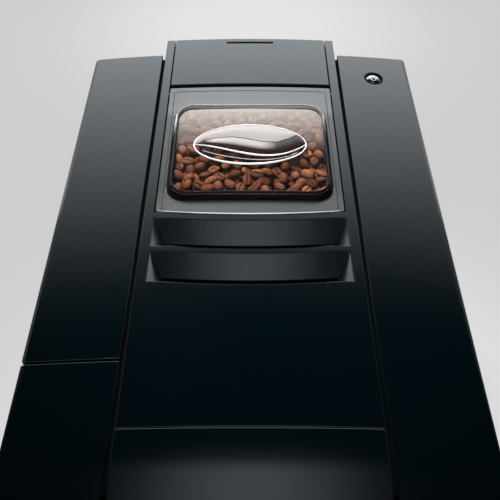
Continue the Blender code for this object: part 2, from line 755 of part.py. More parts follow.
casing = finish("casing", (0.035, 0.042, 0.046), 0.32)
dark_plastic = finish("dark_plastic", (0.02, 0.02, 0.022), 0.5)
chrome = finish("chrome", (0.75, 0.76, 0.78), 0.12, 1.0)
silver_plastic = finish("silver_plastic", (0.6, 0.61, 0.62), 0.3, 0.3)
lid_grey = finish("lid_grey", (0.28, 0.3, 0.31), 0.3)
clear_window = finish("clear_window", (0.95, 0.95, 0.95), 0.05, 0.0, 1.0)
roast = finish("roast", (0.16, 0.06, 0.03), 0.45)
rubber = finish("rubber", (0.03, 0.03, 0.03), 0.8)
steel = finish("steel", (0.55, 0.56, 0.58), 0.3, 1.0)
inner_plastic = finish("inner_plastic", (0.12, 0.12, 0.13), 0.5)
tank_clear = finish("tank_clear", (0.55, 0.62, 0.66), 0.1, 0.0, 0.8)
hose_silicone = finish("hose_silicone", (0.8, 0.8, 0.78), 0.4)
brew_plastic = finish("brew_plastic", (0.6, 0.6, 0.58), 0.45)
board_green = finish("board_green", (0.02, 0.16, 0.06), 0.5)
display_glass = finish("display_glass", (0.01, 0.01, 0.012), 0.08)
block_metal = finish("block_metal", (0.6, 0.58, 0.55), 0.4, 1.0)


def base_and_feet():
    side = SIDE_X - BASE_INSET
    middle = SPINE_HALF - BASE_INSET
    front, shoulder, back = FRONT_Y + BASE_INSET, SIDE_BACK_Y - BASE_INSET, BACK_Y - BASE_INSET
    outline = [
        (-side, front), (side, front), (side, shoulder), (middle, shoulder),
        (middle, back), (-middle, back), (-middle, shoulder), (-side, shoulder),
    ]
    piece("base_plate", prism(outline, FOOT_HEIGHT + FIT, BASE_TOP, "Z"), dark_plastic)
    foot_x = SIDE_X - FOOT_SIDE_INSET
    for end, y in (("front", FRONT_Y + FOOT_FRONT_INSET), ("rear", SIDE_BACK_Y - FOOT_BACK_INSET)):
        for side, x in (("left", -foot_x), ("right", foot_x)):
            foot = rod(FOOT_RADIUS, (x, y, 0), (x, y, FOOT_HEIGHT), segments=24)
            piece(f"foot_{end}_{side}", foot, rubber)


def frame_plates():
    for side, sign in (("left", -1), ("right", 1)):
        x_low, x_high = sorted((sign * FRAME_INNER_X, sign * FRAME_OUTER_X))
        plate = slab(x_low, x_high, FRAME_BACK_Y, FRAME_FRONT_Y, CARRIER_INSET, bottom_z=CASING_LOW)
        plate = piece(f"{side}_frame", plate, steel)
        cut(plate, box(
            (x_low - OVERRUN, VALVE_Y - HOSE_WINDOW_HALF, HOSE_WINDOW_LOW),
            (x_high + OVERRUN, VALVE_Y + HOSE_WINDOW_HALF, HOSE_WINDOW_HIGH),
        ))


def side_panel(side, sign, flange_depth):
    """A shell open towards the frame, with a liner wall beside the cup niche."""
    def span(inner, outer):
        return sorted((sign * inner, sign * outer))

    outer_body = slab(
        *span(SIDE_INNER_X, SIDE_X), SIDE_BACK_Y, FRONT_Y, 0.0,
        bottom_z=CASING_LOW, round_x=sign * SIDE_X,
    )
    panel = piece(f"{side}_side_panel", outer_body, casing)
    under = CASING_LOW - OVERRUN
    cut(panel, slab(
        *span(SIDE_INNER_X + NICHE_LINER, SIDE_X - WALL), SIDE_BACK_Y - WALL, FRONT_Y, WALL,
        bottom_z=under,
    ))
    cut(panel, slab(
        *span(SIDE_INNER_X - OVERRUN, SIDE_X - 2 * WALL), SIDE_BACK_Y - 2 * WALL,
        FRAME_FRONT_Y + OVERRUN, flange_depth, bottom_z=under,
    ))
    return panel


def left_panel_and_tank_lid():
    panel = side_panel("left", -1, -OVERRUN)
    seam_y = slope_y(TANK_SEAM_V)
    cut(panel, slab(
        -SIDE_X - OVERRUN, -SIDE_INNER_X + OVERRUN, SIDE_BACK_Y + OVERRUN, seam_y - TANK_LID_GAP,
        -OVERRUN, bottom_inset=TANK_LID_DEPTH + TANK_LID_GAP,
    ))
    lid_body = slab(
        -SIDE_X, -SIDE_INNER_X, SIDE_BACK_Y, seam_y, 0.0, bottom_inset=TANK_LID_DEPTH, round_x=-SIDE_X,
    )
    hinge = surface(TANK_HINGE_X, 0, -TANK_HINGE_DROP)
    lid = piece("tank_lid", lid_body, casing, hinge)
    cut(lid, slab(
        WALL - SIDE_X, -SIDE_INNER_X - WALL, SIDE_BACK_Y - WALL, seam_y + WALL, WALL,
        bottom_inset=TANK_LID_DEPTH + OVERRUN,
    ))


def right_panel_and_power_button():
    panel = side_panel("right", 1, FLANGE_DEPTH)
    frame = surface_frame(BUTTON_X, BUTTON_V)
    hole = rod(BUTTON_RING_RADIUS + FIT, (0, 0, -FLANGE_DEPTH), (0, 0, OVERRUN))
    hole.transform(frame)
    cut(panel, hole)
    under_skin = -WALL - FIT
    ring_low = under_skin - BUTTON_FLANGE_THICKNESS
    ring = [
        (BUTTON_RADIUS + FIT, FIT), (BUTTON_RING_RADIUS, FIT), (BUTTON_RING_RADIUS, under_skin),
        (BUTTON_RING_RADIUS + BUTTON_FLANGE, under_skin), (BUTTON_RING_RADIUS + BUTTON_FLANGE, ring_low),
        (BUTTON_RADIUS + FIT, ring_low),
    ]
    turned("power_button_ring", ring, dark_plastic, frame, closed=True)
    cap_low = ring_low - FIT
    stop_low = cap_low - BUTTON_FLANGE_THICKNESS
    button = [
        (0, 0), (BUTTON_RADIUS, 0), (BUTTON_RADIUS, cap_low), (BUTTON_RING_RADIUS, cap_low),
        (BUTTON_RING_RADIUS, stop_low), (BUTTON_STEM_RADIUS, stop_low),
        (BUTTON_STEM_RADIUS, stop_low - BUTTON_STEM), (0, stop_low - BUTTON_STEM),
    ]
    turned("power_button", button, silver_plastic, frame)


def step_cutter(lip_v):
    """The wedge shaped recess of one louvred step: shallow at its lip, deep at its front."""
    def row(half, v, w):
        points = []
        for i in range(STEP_COLUMNS + 1):
            x = half * (2 * i / STEP_COLUMNS - 1)
            points.append(surface(x, v + lip_bulge(min(abs(x), LID_HALF)), w))
        return points

    rise = OVERRUN
    outer = STEP_HALF + rise * STEP_SIDE_RUN / STEP_DEPTH
    start_v = lip_v - rise * STEP_LENGTH / STEP_DEPTH
    deep_v = lip_v + STEP_LENGTH
    bm = bmesh.new()
    lip = [bm.verts.new(p) for p in row(outer, start_v, rise)]
    top = [bm.verts.new(p) for p in row(outer, deep_v, rise)]
    bottom = [bm.verts.new(p) for p in row(STEP_HALF - STEP_SIDE_RUN, deep_v, -STEP_DEPTH)]
    for i in range(STEP_COLUMNS):
        for one, other in ((lip, top), (top, bottom), (bottom, lip)):
            bm.faces.new((one[i], one[i + 1], other[i + 1], other[i]))
    for i in (0, -1):
        bm.faces.new((lip[i], top[i], bottom[i]))
    bmesh.ops.triangulate(bm, faces=bm.faces)
    return take(bm, "step")


def centre_cover():
    body = slab(
        -SPINE_HALF, SPINE_HALF, BACK_Y, COVER_FRONT_Y, 0.0, bottom_inset=SPINE_DEPTH,
    )
    cover = piece("center_cover", body, casing)
    mouth_v = LID_FRONT_V + LID_GAP
    columns = [RAIL_X * (2 * i / STEP_COLUMNS - 1) for i in range(STEP_COLUMNS + 1)]
    outline = [(x, slope_y(mouth_v + lip_bulge(min(abs(x), LID_HALF)))) for x in columns]
    outline += [(RAIL_X, BACK_Y + OVERRUN), (-RAIL_X, BACK_Y + OVERRUN)]
    cut(cover, prism(outline, NICHE_TOP, BODY_HEIGHT + OVERRUN, "Z"))
    for lip_v in STEP_LIPS_V:
        cut(cover, step_cutter(lip_v))
        deep_y = slope_y(lip_v + STEP_LENGTH)
        columns = [STEP_SLOT_HALF * (2 * i / STEP_COLUMNS - 1) for i in range(STEP_COLUMNS + 1)]
        bow = [(x, slope_y(lip_v + STEP_LENGTH + lip_bulge(x)) + FIT) for x in columns]
        bow += [(x, y + STEP_SLOT - FIT) for x, y in reversed(bow)]
        cut(cover, prism(bow, NICHE_TOP, BODY_HEIGHT, "Z"))
        start_y = slope_y(lip_v + LIP_BULGE + WALL)
        pocket = [
            (start_y, top_z(start_y, WALL + WALL)), (start_y, top_z(start_y, SPINE_DEPTH + OVERRUN)),
            (deep_y, top_z(deep_y, SPINE_DEPTH + OVERRUN)), (deep_y, top_z(deep_y, STEP_DEPTH + WALL)),
        ]
        cut(cover, prism(pocket, -STEP_POCKET_HALF, STEP_POCKET_HALF))
    hollow_v = STEP_LIPS_V[-1] + STEP_LENGTH + LIP_BULGE + WALL
    cut(cover, slab(
        WALL - SPINE_HALF, SPINE_HALF - WALL, slope_y(hollow_v), COVER_FRONT_Y + WALL, WALL,
        bottom_inset=SPINE_DEPTH + OVERRUN,
    ))
    for v in (FLAP_PIN_V, LID_PIN_V):
        centre = surface(0, v, -PIN_DROP)
        reach = Vector((SPINE_HALF + OVERRUN, 0, 0))
        cut(cover, rod(PIN_RADIUS + FIT, centre - reach, centre + reach, segments=16))


def rear_cover():
    body = slab(-SPINE_HALF, SPINE_HALF, BACK_Y, SIDE_BACK_Y, CARRIER_INSET, bottom_z=CASING_LOW)
    cover = piece("rear_cover", body, casing)
    cut(cover, slab(
        WALL - SPINE_HALF, SPINE_HALF - WALL, BACK_Y - WALL, SIDE_BACK_Y - OVERRUN, CARRIER_INSET + WALL,
        bottom_z=CASING_LOW + WALL,
    ))
    join(cover, slab(
        -LID_HALF, LID_HALF, BACK_Y, BACK_Y - WALL, LID_DEPTH + 2 * FIT,
        bottom_inset=CARRIER_INSET + WALL,
    ))
    half_width = INLET_HALF_WIDTH
    half_height = INLET_HALF_HEIGHT
    cut(cover, box(
        (INLET_X - half_width, BACK_Y - WALL - OVERRUN, INLET_Z - half_height),
        (INLET_X + half_width, BACK_Y + OVERRUN, INLET_Z + half_height),
    ))
    half_width = ROCKER_HALF_WIDTH + FIT
    half_height = ROCKER_HALF_HEIGHT + ROCKER_CLEARANCE
    cut(cover, box(
        (SWITCH_X - half_width, BACK_Y - WALL - OVERRUN, INLET_Z - half_height),
        (SWITCH_X + half_width, BACK_Y + OVERRUN, INLET_Z + half_height),
    ))


def mains_inlet_and_switch():
    flange_x = INLET_HALF_WIDTH + INLET_FLANGE
    flange_z = INLET_HALF_HEIGHT + INLET_FLANGE
    outer_y = BODY_DEPTH / 2
    inlet = piece("mains_inlet", box(
        (INLET_X - flange_x, BACK_Y + FIT, INLET_Z - flange_z), (INLET_X + flange_x, outer_y, INLET_Z + flange_z),
        "Y", INLET_FLANGE,
    ), dark_plastic)
    join(inlet, box(
        (INLET_X - INLET_HALF_WIDTH + FIT, BACK_Y - INLET_DEPTH, INLET_Z - INLET_HALF_HEIGHT + FIT),
        (INLET_X + INLET_HALF_WIDTH - FIT, BACK_Y + 2 * FIT, INLET_Z + INLET_HALF_HEIGHT - FIT),
    ))
    socket_floor = outer_y - SOCKET_DEPTH
    cut(inlet, box(
        (INLET_X - SOCKET_HALF_WIDTH, socket_floor, INLET_Z - SOCKET_HALF_HEIGHT),
        (INLET_X + SOCKET_HALF_WIDTH, outer_y + OVERRUN, INLET_Z + SOCKET_HALF_HEIGHT),
        "Y", INLET_FLANGE,
    ))
    for n in (-1, 0, 1):
        x = INLET_X + n * CONTACT_SPACING
        z = INLET_Z + (CONTACT_STEP / 2 if n == 0 else -CONTACT_STEP / 2)
        join(inlet, box(
            (x - CONTACT_HALF, socket_floor - CONTACT_HALF, z - CONTACT_HALF_HEIGHT),
            (x + CONTACT_HALF, socket_floor + CONTACT_LENGTH, z + CONTACT_HALF_HEIGHT),
        ))
    outer = BACK_Y + PROUD / 4
    outline = [
        (outer, -ROCKER_HALF_HEIGHT), (outer - PROUD / 4, 0), (outer, ROCKER_HALF_HEIGHT),
        (outer - ROCKER_DEPTH, ROCKER_HALF_HEIGHT), (outer - ROCKER_DEPTH, -ROCKER_HALF_HEIGHT),
    ]
    outline = [(y, z + INLET_Z) for y, z in outline]
    rocker = prism(outline, SWITCH_X - ROCKER_HALF_WIDTH, SWITCH_X + ROCKER_HALF_WIDTH)
    pivot = Matrix.Translation((SWITCH_X, outer - ROCKER_DEPTH, INLET_Z))
    rocker.transform(pivot @ Matrix.Rotation(-ROCKER_TILT, 4, "X") @ pivot.inverted())
    piece("mains_switch", rocker, dark_plastic, pivot.translation)


def powder_flap():
    hinge = surface(0, FLAP_PIN_V, -PIN_DROP)
    body = slab(
        -LID_HALF, LID_HALF, slope_y(FLAP_BACK_V), slope_y(FLAP_FRONT_V), 0.0, bottom_inset=FLAP_DEPTH,
    )
    flap = piece("powder_flap", body, casing, hinge)
    cut(flap, slab(
        WALL - LID_HALF, LID_HALF - WALL, slope_y(FLAP_BACK_V + WALL), slope_y(FLAP_FRONT_V - WALL), WALL,
        bottom_inset=FLAP_DEPTH + OVERRUN,
    ))
    cut(flap, slab(
        -SLOT_HALF, SLOT_HALF, slope_y(SLOT_V - SLOT_WIDTH / 2), slope_y(SLOT_V + SLOT_WIDTH / 2),
        -OVERRUN, bottom_inset=SLOT_DEPTH,
    ))
    hinge_holes(flap, hinge)
    hinge_pin("flap_hinge_pin", hinge)


def hinge_holes(obj, centre):
    reach = Vector((SPINE_HALF, 0, 0))
    cut(obj, rod(PIN_RADIUS + FIT, centre - reach, centre + reach, segments=16))


def hinge_pin(name, centre):
    reach = Vector((SPINE_HALF - FIT, 0, 0))
    piece(name, rod(PIN_RADIUS, centre - reach, centre + reach, segments=16), steel)


def window_prism(half, back_v, front_v, low, high, corner, edge=0.0):
    """A crowned block with round corners, standing square on the sloping top."""
    middle_v = (WINDOW_BACK_V + WINDOW_FRONT_V) / 2
    frame = surface_frame(0, middle_v)
    outline = rounded_outline(half, middle_v - front_v, middle_v - back_v, corner)
    mesh = prism(outline, low, high, "Z")
    if edge:
        bm = bmesh.new()
        bm.from_mesh(mesh)
        edges = [e for e in bm.edges if min(v.co.z for v in e.verts) > high - FIT]
        bmesh.ops.bevel(bm, geom=edges, offset=edge, segments=2, profile=0.5, affect="EDGES")
        mesh = take(bm, "window")
    mesh.transform(frame)
    return crowned(mesh)


def hopper_lid():
    hinge = surface(0, LID_PIN_V, -PIN_DROP)
    past_v = LID_FRONT_V + 2 * LIP_BULGE
    body = slab(-LID_HALF, LID_HALF, slope_y(LID_BACK_V), slope_y(past_v), 0.0, bottom_inset=LID_DEPTH)
    lid = piece("hopper_lid", body, lid_grey, hinge)
    columns = [LID_HALF * (2 * i / STEP_COLUMNS - 1) for i in range(STEP_COLUMNS + 1)]
    front = [(x, slope_y(LID_FRONT_V + lip_bulge(x))) for x in columns]
    beyond = slope_y(past_v + OVERRUN)
    outline = [(-LID_HALF - OVERRUN, front[0][1]), *front, (LID_HALF + OVERRUN, front[-1][1])]
    outline += [(LID_HALF + OVERRUN, beyond), (-LID_HALF - OVERRUN, beyond)]
    cut(lid, prism(outline, NICHE_TOP, BODY_HEIGHT + OVERRUN, "Z"))
    cut(lid, slab(
        WALL - LID_HALF, LID_HALF - WALL, slope_y(LID_BACK_V + WALL), slope_y(LID_FRONT_V - WALL), LID_SKIN,
        bottom_inset=LID_DEPTH + OVERRUN,
    ))
    cut(lid, window_prism(
        WINDOW_HALF + FIT, WINDOW_BACK_V - FIT, WINDOW_FRONT_V + FIT, -LID_DEPTH, OVERRUN,
        WINDOW_CORNER + FIT,
    ))
    hinge_holes(lid, hinge)
    hinge_pin("lid_hinge_pin", hinge)

    flange_high = -LID_SKIN - FIT
    flange_low = flange_high - WINDOW_FLANGE_THICKNESS
    window = piece("lid_window", window_prism(
        WINDOW_HALF, WINDOW_BACK_V, WINDOW_FRONT_V, flange_low + FIT, WINDOW_RAISE, WINDOW_CORNER,
        WINDOW_EDGE,
    ), clear_window, hinge)
    join(window, window_prism(
        WINDOW_HALF + WINDOW_FLANGE, WINDOW_BACK_V - WINDOW_FLANGE, WINDOW_FRONT_V + WINDOW_FLANGE,
        flange_low, flange_high, WINDOW_CORNER,
    ))
    cut(window, window_prism(
        WINDOW_HALF - WALL, WINDOW_BACK_V + WALL, WINDOW_FRONT_V - WALL, flange_low - OVERRUN,
        WINDOW_RAISE - WALL, WINDOW_CORNER - WALL,
    ))


def bean_relief():
    """The oval ridge and the crease of a coffee bean, as one wire on the window."""
    level = WINDOW_RAISE + RIDGE_RADIUS + FIT
    count = 40
    oval = []
    for i in range(count):
        angle = 2 * math.pi * i / count
        x = RELIEF_HALF_LENGTH * math.cos(angle)
        oval.append(surface(x, RELIEF_V + RELIEF_HALF_WIDTH * math.sin(angle), level))
    hinge = surface(0, LID_PIN_V, -PIN_DROP)
    relief = piece("bean_relief", sweep(oval, RIDGE_RADIUS, closed=True), silver_plastic, hinge)
    crease = []
    for i in range(count // 2 + 1):
        t = 2 * i / (count // 2) - 1
        swing = CREASE_SINK_SHARE * (1 - t * t) * (1 + CREASE_LEAN_SHARE * t)
        crease.append(surface(RELIEF_HALF_LENGTH * t, RELIEF_V + RELIEF_HALF_WIDTH * swing, level))
    join(relief, sweep(crease, RIDGE_RADIUS * 0.9))


def lid_seal():
    low = -SPINE_DEPTH
    high = -LID_DEPTH - FIT
    middle_v = (WINDOW_BACK_V + WINDOW_FRONT_V) / 2
    frame = surface_frame(0, middle_v)
    rings = []
    for half, inset in ((SEAL_HALF, 0.0), (SEAL_HALF - SEAL_WIDTH, SEAL_WIDTH)):
        outline = rounded_outline(
            half, middle_v - SEAL_FRONT_V + inset, middle_v - SEAL_BACK_V - inset, SEAL_WIDTH + FIT - inset,
        )
        rings.append(outline)
    body = prism(rings[0], low, high, "Z")
    body.transform(frame)
    seal = piece("lid_seal", crowned(body), rubber)
    hole = prism(rings[1], low - OVERRUN, high + OVERRUN, "Z")
    hole.transform(frame)
    cut(seal, crowned(hole))


def hopper_rings(clearance=0.0):
    """The hopper's inner surface from its mouth down to its outlet, as rings of points."""
    def on_slope(outline, w):
        # The outline's second number is v forwards.
        return [surface(x, v, w) for x, v in outline]

    half = HOPPER_MOUTH_HALF - clearance
    back = HOPPER_MOUTH_BACK_V + clearance
    front = HOPPER_MOUTH_FRONT_V - clearance
    mouth = [(x, back + front - v) for x, v in rounded_outline(half, back, front, HOPPER_CORNER)]
    floor = [Vector((x, slope_y(v), HOPPER_FLOOR_Z)) for x, v in mouth]
    neck = circle_outline(GRINDER_Y, HOPPER_NECK_RADIUS - clearance)
    outlet = circle_outline(GRINDER_Y, HOPPER_OUTLET_RADIUS - clearance)
    outlet_z = GRINDER_TOP + HOPPER_WALL
    return [
        on_slope(mouth, -CARRIER_INSET),
        floor,
        [Vector((x, y, HOPPER_NECK_Z)) for x, y in neck],
        [Vector((x, y, outlet_z)) for x, y in outlet],
    ]


def bean_hopper_and_beans():
    rim = rounded_outline(INSIDE_HALF, HOPPER_BACK_V, HOPPER_FRONT_V, HOPPER_WALL)
    rim = [surface(x, HOPPER_BACK_V + HOPPER_FRONT_V - v, -CARRIER_INSET) for x, v in rim]
    hopper = piece("bean_hopper", loft([rim, *hopper_rings()], capped=False), inner_plastic)
    shell = hopper.modifiers.new("wall", "SOLIDIFY")
    shell.thickness = HOPPER_WALL
    shell.offset = -1
    rings = hopper_rings(BEAN_CLEARANCE)
    rings[0] = [point - Vector((0, 0, BEAN_TOP_DROP)) for point in rings[0]]
    piece("bean_charge", loft(rings), roast)

    frame = surface_frame(KNOB_X, KNOB_V, FIT - CARRIER_INSET)
    count = 2 * KNOB_RIDGES
    outline = []
    for i in range(count):
        radius = KNOB_RADIUS - (KNOB_RIDGE if i % 2 else 0)
        angle = 2 * math.pi * i / count
        outline.append((radius * math.cos(angle), radius * math.sin(angle)))
    knob = prism(outline, 0, KNOB_HEIGHT, "Z")
    knob.transform(frame)
    piece("grind_knob", knob, dark_plastic, frame.translation)


def grinder():
    frame = upright(0, GRINDER_Y)
    body = [
        (GRINDER_BORE, GRINDER_TOP), (GRINDER_RADIUS, GRINDER_TOP), (GRINDER_RADIUS, GRINDER_BOTTOM),
        (GRINDER_SHAFT_HOLE, GRINDER_BOTTOM), (GRINDER_SHAFT_HOLE, GRINDER_FLOOR_Z),
        (GRINDER_LEDGE, GRINDER_FLOOR_Z), (GRINDER_LEDGE, GRINDER_LEDGE_Z), (GRINDER_BORE, GRINDER_LEDGE_Z),
    ]
    housing = turned("grinder_housing", body, inner_plastic, frame, closed=True)
    for start, end in ((-INSIDE_HALF, -GRINDER_EAR_START), (GRINDER_EAR_START, INSIDE_HALF)):
        join(housing, box(
            (start, GRINDER_Y - GRINDER_EAR_HALF, GRINDER_EAR_LOW),
            (end, GRINDER_Y + GRINDER_EAR_HALF, GRINDER_EAR_HIGH),
        ))
    cut(housing, box(
        (-CHUTE_PORT_HALF, GRINDER_Y + GRINDER_LEDGE - OVERRUN, GRINDER_FLOOR_Z + FIT),
        (CHUTE_PORT_HALF, GRINDER_Y + GRINDER_RADIUS + OVERRUN, GRINDER_FLOOR_Z + 2 * CHUTE_PORT_HALF),
    ))
    ring_low = GRINDER_LEDGE_Z + FIT
    ring = [
        (BURR_THROAT_TOP, ring_low + BURR_HEIGHT), (GRINDER_BORE - FIT, ring_low + BURR_HEIGHT),
        (GRINDER_BORE - FIT, ring_low), (BURR_THROAT, ring_low),
    ]
    turned("upper_burr", ring, steel, frame, closed=True)
    cone = [
        (0, ring_low + BURR_HEIGHT), (CONE_TOP_RADIUS, ring_low + BURR_HEIGHT),
        (CONE_RADIUS, CONE_FLANGE_TOP), (CONE_FLANGE_RADIUS, CONE_FLANGE_TOP),
        (CONE_FLANGE_RADIUS, CONE_FLANGE_BOTTOM), (BURR_SHAFT_RADIUS, CONE_FLANGE_BOTTOM),
        (BURR_SHAFT_RADIUS, GRINDER_BOTTOM), (0, GRINDER_BOTTOM),
    ]
    turned("lower_burr", cone, steel, frame)
    motor_top = GRINDER_BOTTOM - FIT
    motor = [
        (0, motor_top), (MOTOR_RADIUS, motor_top), (MOTOR_RADIUS, MOTOR_BOTTOM + MOTOR_NECK),
        (MOTOR_NECK_RADIUS, MOTOR_BOTTOM + MOTOR_NECK), (MOTOR_NECK_RADIUS, MOTOR_BOTTOM),
        (0, MOTOR_BOTTOM),
    ]
    turned("grinder_motor", motor, steel, frame)
    chute = piece("grounds_chute", rod(CHUTE_RADIUS, CHUTE_LOW, CHUTE_HIGH, segments=24), inner_plastic)
    run = (Vector(CHUTE_HIGH) - Vector(CHUTE_LOW)).normalized() * OVERRUN
    cut(chute, rod(
        CHUTE_RADIUS - CHUTE_WALL, Vector(CHUTE_LOW) - run, Vector(CHUTE_HIGH) + run, segments=24,
    ))
    reach = Vector((0, 0, OVERRUN * 4))
    centre = Vector((0, GRINDER_Y, GRINDER_FLOOR_Z))
    cut(chute, rod(GRINDER_RADIUS + FIT, centre - reach, centre + reach, segments=32))


def powder_funnel():
    low = (-INSIDE_HALF, DECK_FRONT_Y, DECK_Z - DECK_THICKNESS)
    funnel = piece("powder_funnel", box(low, (INSIDE_HALF, BACK_Y - WALL - FIT, DECK_Z)), inner_plastic)

    def cone(shrink, extra):
        """A leaning cone, upright at both of its flat ends."""
        height = DECK_Z - FUNNEL_BOTTOM_Z
        mesh = rod(
            FUNNEL_BOTTOM_RADIUS - shrink, (0, 0, 0), (0, 0, height),
            end_radius=FUNNEL_TOP_RADIUS - shrink, segments=28,
        )
        for vert in mesh.vertices:
            share = vert.co.z / height
            stretch = 1 + extra * (1 if share > 1 / 2 else -1)
            vert.co.y += FUNNEL_BOTTOM_Y + (FUNNEL_TOP_Y - FUNNEL_BOTTOM_Y) * share
            vert.co.z = FUNNEL_BOTTOM_Z + height / 2 + height * (share - 1 / 2) * abs(stretch)
        return mesh

    join(funnel, cone(0.0, 0.0))
    cut(funnel, cone(FUNNEL_WALL, 0.0))
    top = (0, FUNNEL_TOP_Y, DECK_Z)
    cut(funnel, rod(
        FUNNEL_TOP_RADIUS - FUNNEL_WALL, Vector(top) - Vector((0, 0, FIT)),
        Vector(top) + Vector((0, 0, OVERRUN)), segments=28,
    ))
    bottom = Vector((0, FUNNEL_BOTTOM_Y, FUNNEL_BOTTOM_Z))
    cut(funnel, rod(
        FUNNEL_BOTTOM_RADIUS - FUNNEL_WALL, bottom - Vector((0, 0, OVERRUN)),
        bottom + Vector((0, 0, FIT)), segments=28,
    ))


def brew_unit():
    back = BREW_Y + BREW_HALF_LENGTH
    front = BREW_Y - BREW_HALF_LENGTH
    plate_top = BREW_PLATE_Z + BREW_PLATE
    seat_top = BREW_SEAT_Z + BREW_PLATE
    frame = piece("brew_unit_frame", box(
        (-INSIDE_HALF, front, BREW_PLATE_Z), (INSIDE_HALF, back, plate_top),
    ), brew_plastic)
    inner = BREW_SIDE_X - BREW_SIDE
    for start, end in ((-BREW_SIDE_X, -inner), (inner, BREW_SIDE_X)):
        join(frame, box((start, front, plate_top - FIT), (end, back, seat_top)))
    join(frame, box((-BREW_SIDE_X, front, BREW_SEAT_Z), (BREW_SIDE_X, back, seat_top)))
    centre = Vector((0, BREW_Y, BREW_PLATE_Z))
    cut(frame, rod(
        PISTON_HOLE_RADIUS, centre - Vector((0, 0, OVERRUN)), centre + Vector((0, 0, CYLINDER_HEIGHT)),
    ))
    place = upright(0, BREW_Y)
    low = CYLINDER_LOW
    high = CYLINDER_TOP
    tube = [(CYLINDER_BORE, high), (CYLINDER_RADIUS, high), (CYLINDER_RADIUS, low), (CYLINDER_BORE, low)]
    turned("brew_cylinder", tube, brew_plastic, place, closed=True)
    disc_low = low + PISTON_REST
    disc_high = disc_low + PISTON_DISC
    piston_radius = CYLINDER_BORE - FIT
    piston = [
        (0, disc_high), (piston_radius, disc_high), (piston_radius, disc_low),
        (PISTON_ROD_RADIUS, disc_low), (PISTON_ROD_RADIUS, disc_low - PISTON_ROD_LENGTH),
        (0, disc_low - PISTON_ROD_LENGTH),
    ]
    turned("brew_piston", piston, brew_plastic, place)
    count = 4 * GEAR_TEETH
    outline = []
    for i in range(count):
        radius = GEAR_RADIUS + (GEAR_TOOTH if i % 4 < 2 else 0)
        angle = 2 * math.pi * i / count
        outline.append((radius * math.cos(angle), BREW_Y + radius * math.sin(angle)))
    gear_low = plate_top + FIT
    gear = prism(outline, gear_low, gear_low + GEAR_THICKNESS, "Z")
    gear = piece("brew_drive_gear", gear, brew_plastic, (0, BREW_Y, gear_low))
    cut(gear, rod(
        PISTON_ROD_RADIUS + FIT, (0, BREW_Y, gear_low - OVERRUN), (0, BREW_Y, gear_low + 2 * GEAR_THICKNESS),
    ))


def water_circuit():
    pump_z = CASING_LOW + PUMP_RADIUS
    meter_front = METER_Y - METER_RADIUS - 2 * FIT
    length = PUMP_BACK_Y - PUMP_FRONT_Y
    inlet = meter_front - PUMP_BACK_Y
    pump = [
        (0, inlet), (SPIGOT_RADIUS, inlet), (SPIGOT_RADIUS, 0), (PUMP_CAP_RADIUS, 0),
        (PUMP_CAP_RADIUS, -PUMP_CAP), (PUMP_RADIUS, -PUMP_CAP), (PUMP_RADIUS, PUMP_CAP - length),
        (PUMP_CAP_RADIUS, PUMP_CAP - length), (PUMP_CAP_RADIUS, -length), (0, -length),
    ]
    to_back = Matrix.Translation((PUMP_X, PUMP_BACK_Y, pump_z)) @ Matrix.Rotation(-math.pi / 2, 4, "X")
    turned("water_pump", pump, steel, to_back, steps=24)
    meter = [
        (0, METER_SPIGOT_TOP), (SPIGOT_RADIUS, METER_SPIGOT_TOP), (SPIGOT_RADIUS, METER_TOP),
        (METER_RADIUS, METER_TOP), (METER_RADIUS, CASING_LOW), (0, CASING_LOW),
    ]
    turned("flow_meter", meter, brew_plastic, upright(PUMP_X, METER_Y), steps=24)
    block_x = FRAME_OUTER_X + FIT
    piece("thermoblock", box(
        (block_x, THERMOBLOCK_FRONT_Y, THERMOBLOCK_LOW_Z),
        (block_x + THERMOBLOCK_WIDTH, THERMOBLOCK_BACK_Y, THERMOBLOCK_HIGH_Z), "Y", THERMOBLOCK_ROUND,
    ), block_metal)


def smooth_route(points, steps):
    """Points along a smooth curve through a route's own points."""
    ends = [points[0], *points, points[-1]]
    out = []
    for a, b, c, d in zip(ends, ends[1:], ends[2:], ends[3:]):
        a, b, c, d = (Vector(p) for p in (a, b, c, d))
        for i in range(steps):
            t = i / steps
            out.append((2 * b + (c - a) * t + (2 * a - 5 * b + 4 * c - d) * t * t
                        + (3 * b - a - 3 * c + d) * t ** 3) / 2)
    out.append(Vector(points[-1]))
    return out


def water_hose():
    route = smooth_route(HOSE_ROUTE, HOSE_STEPS)
    piece("water_hose", sweep([(x, VALVE_Y, z) for x, z in route], HOSE_RADIUS), hose_silicone)


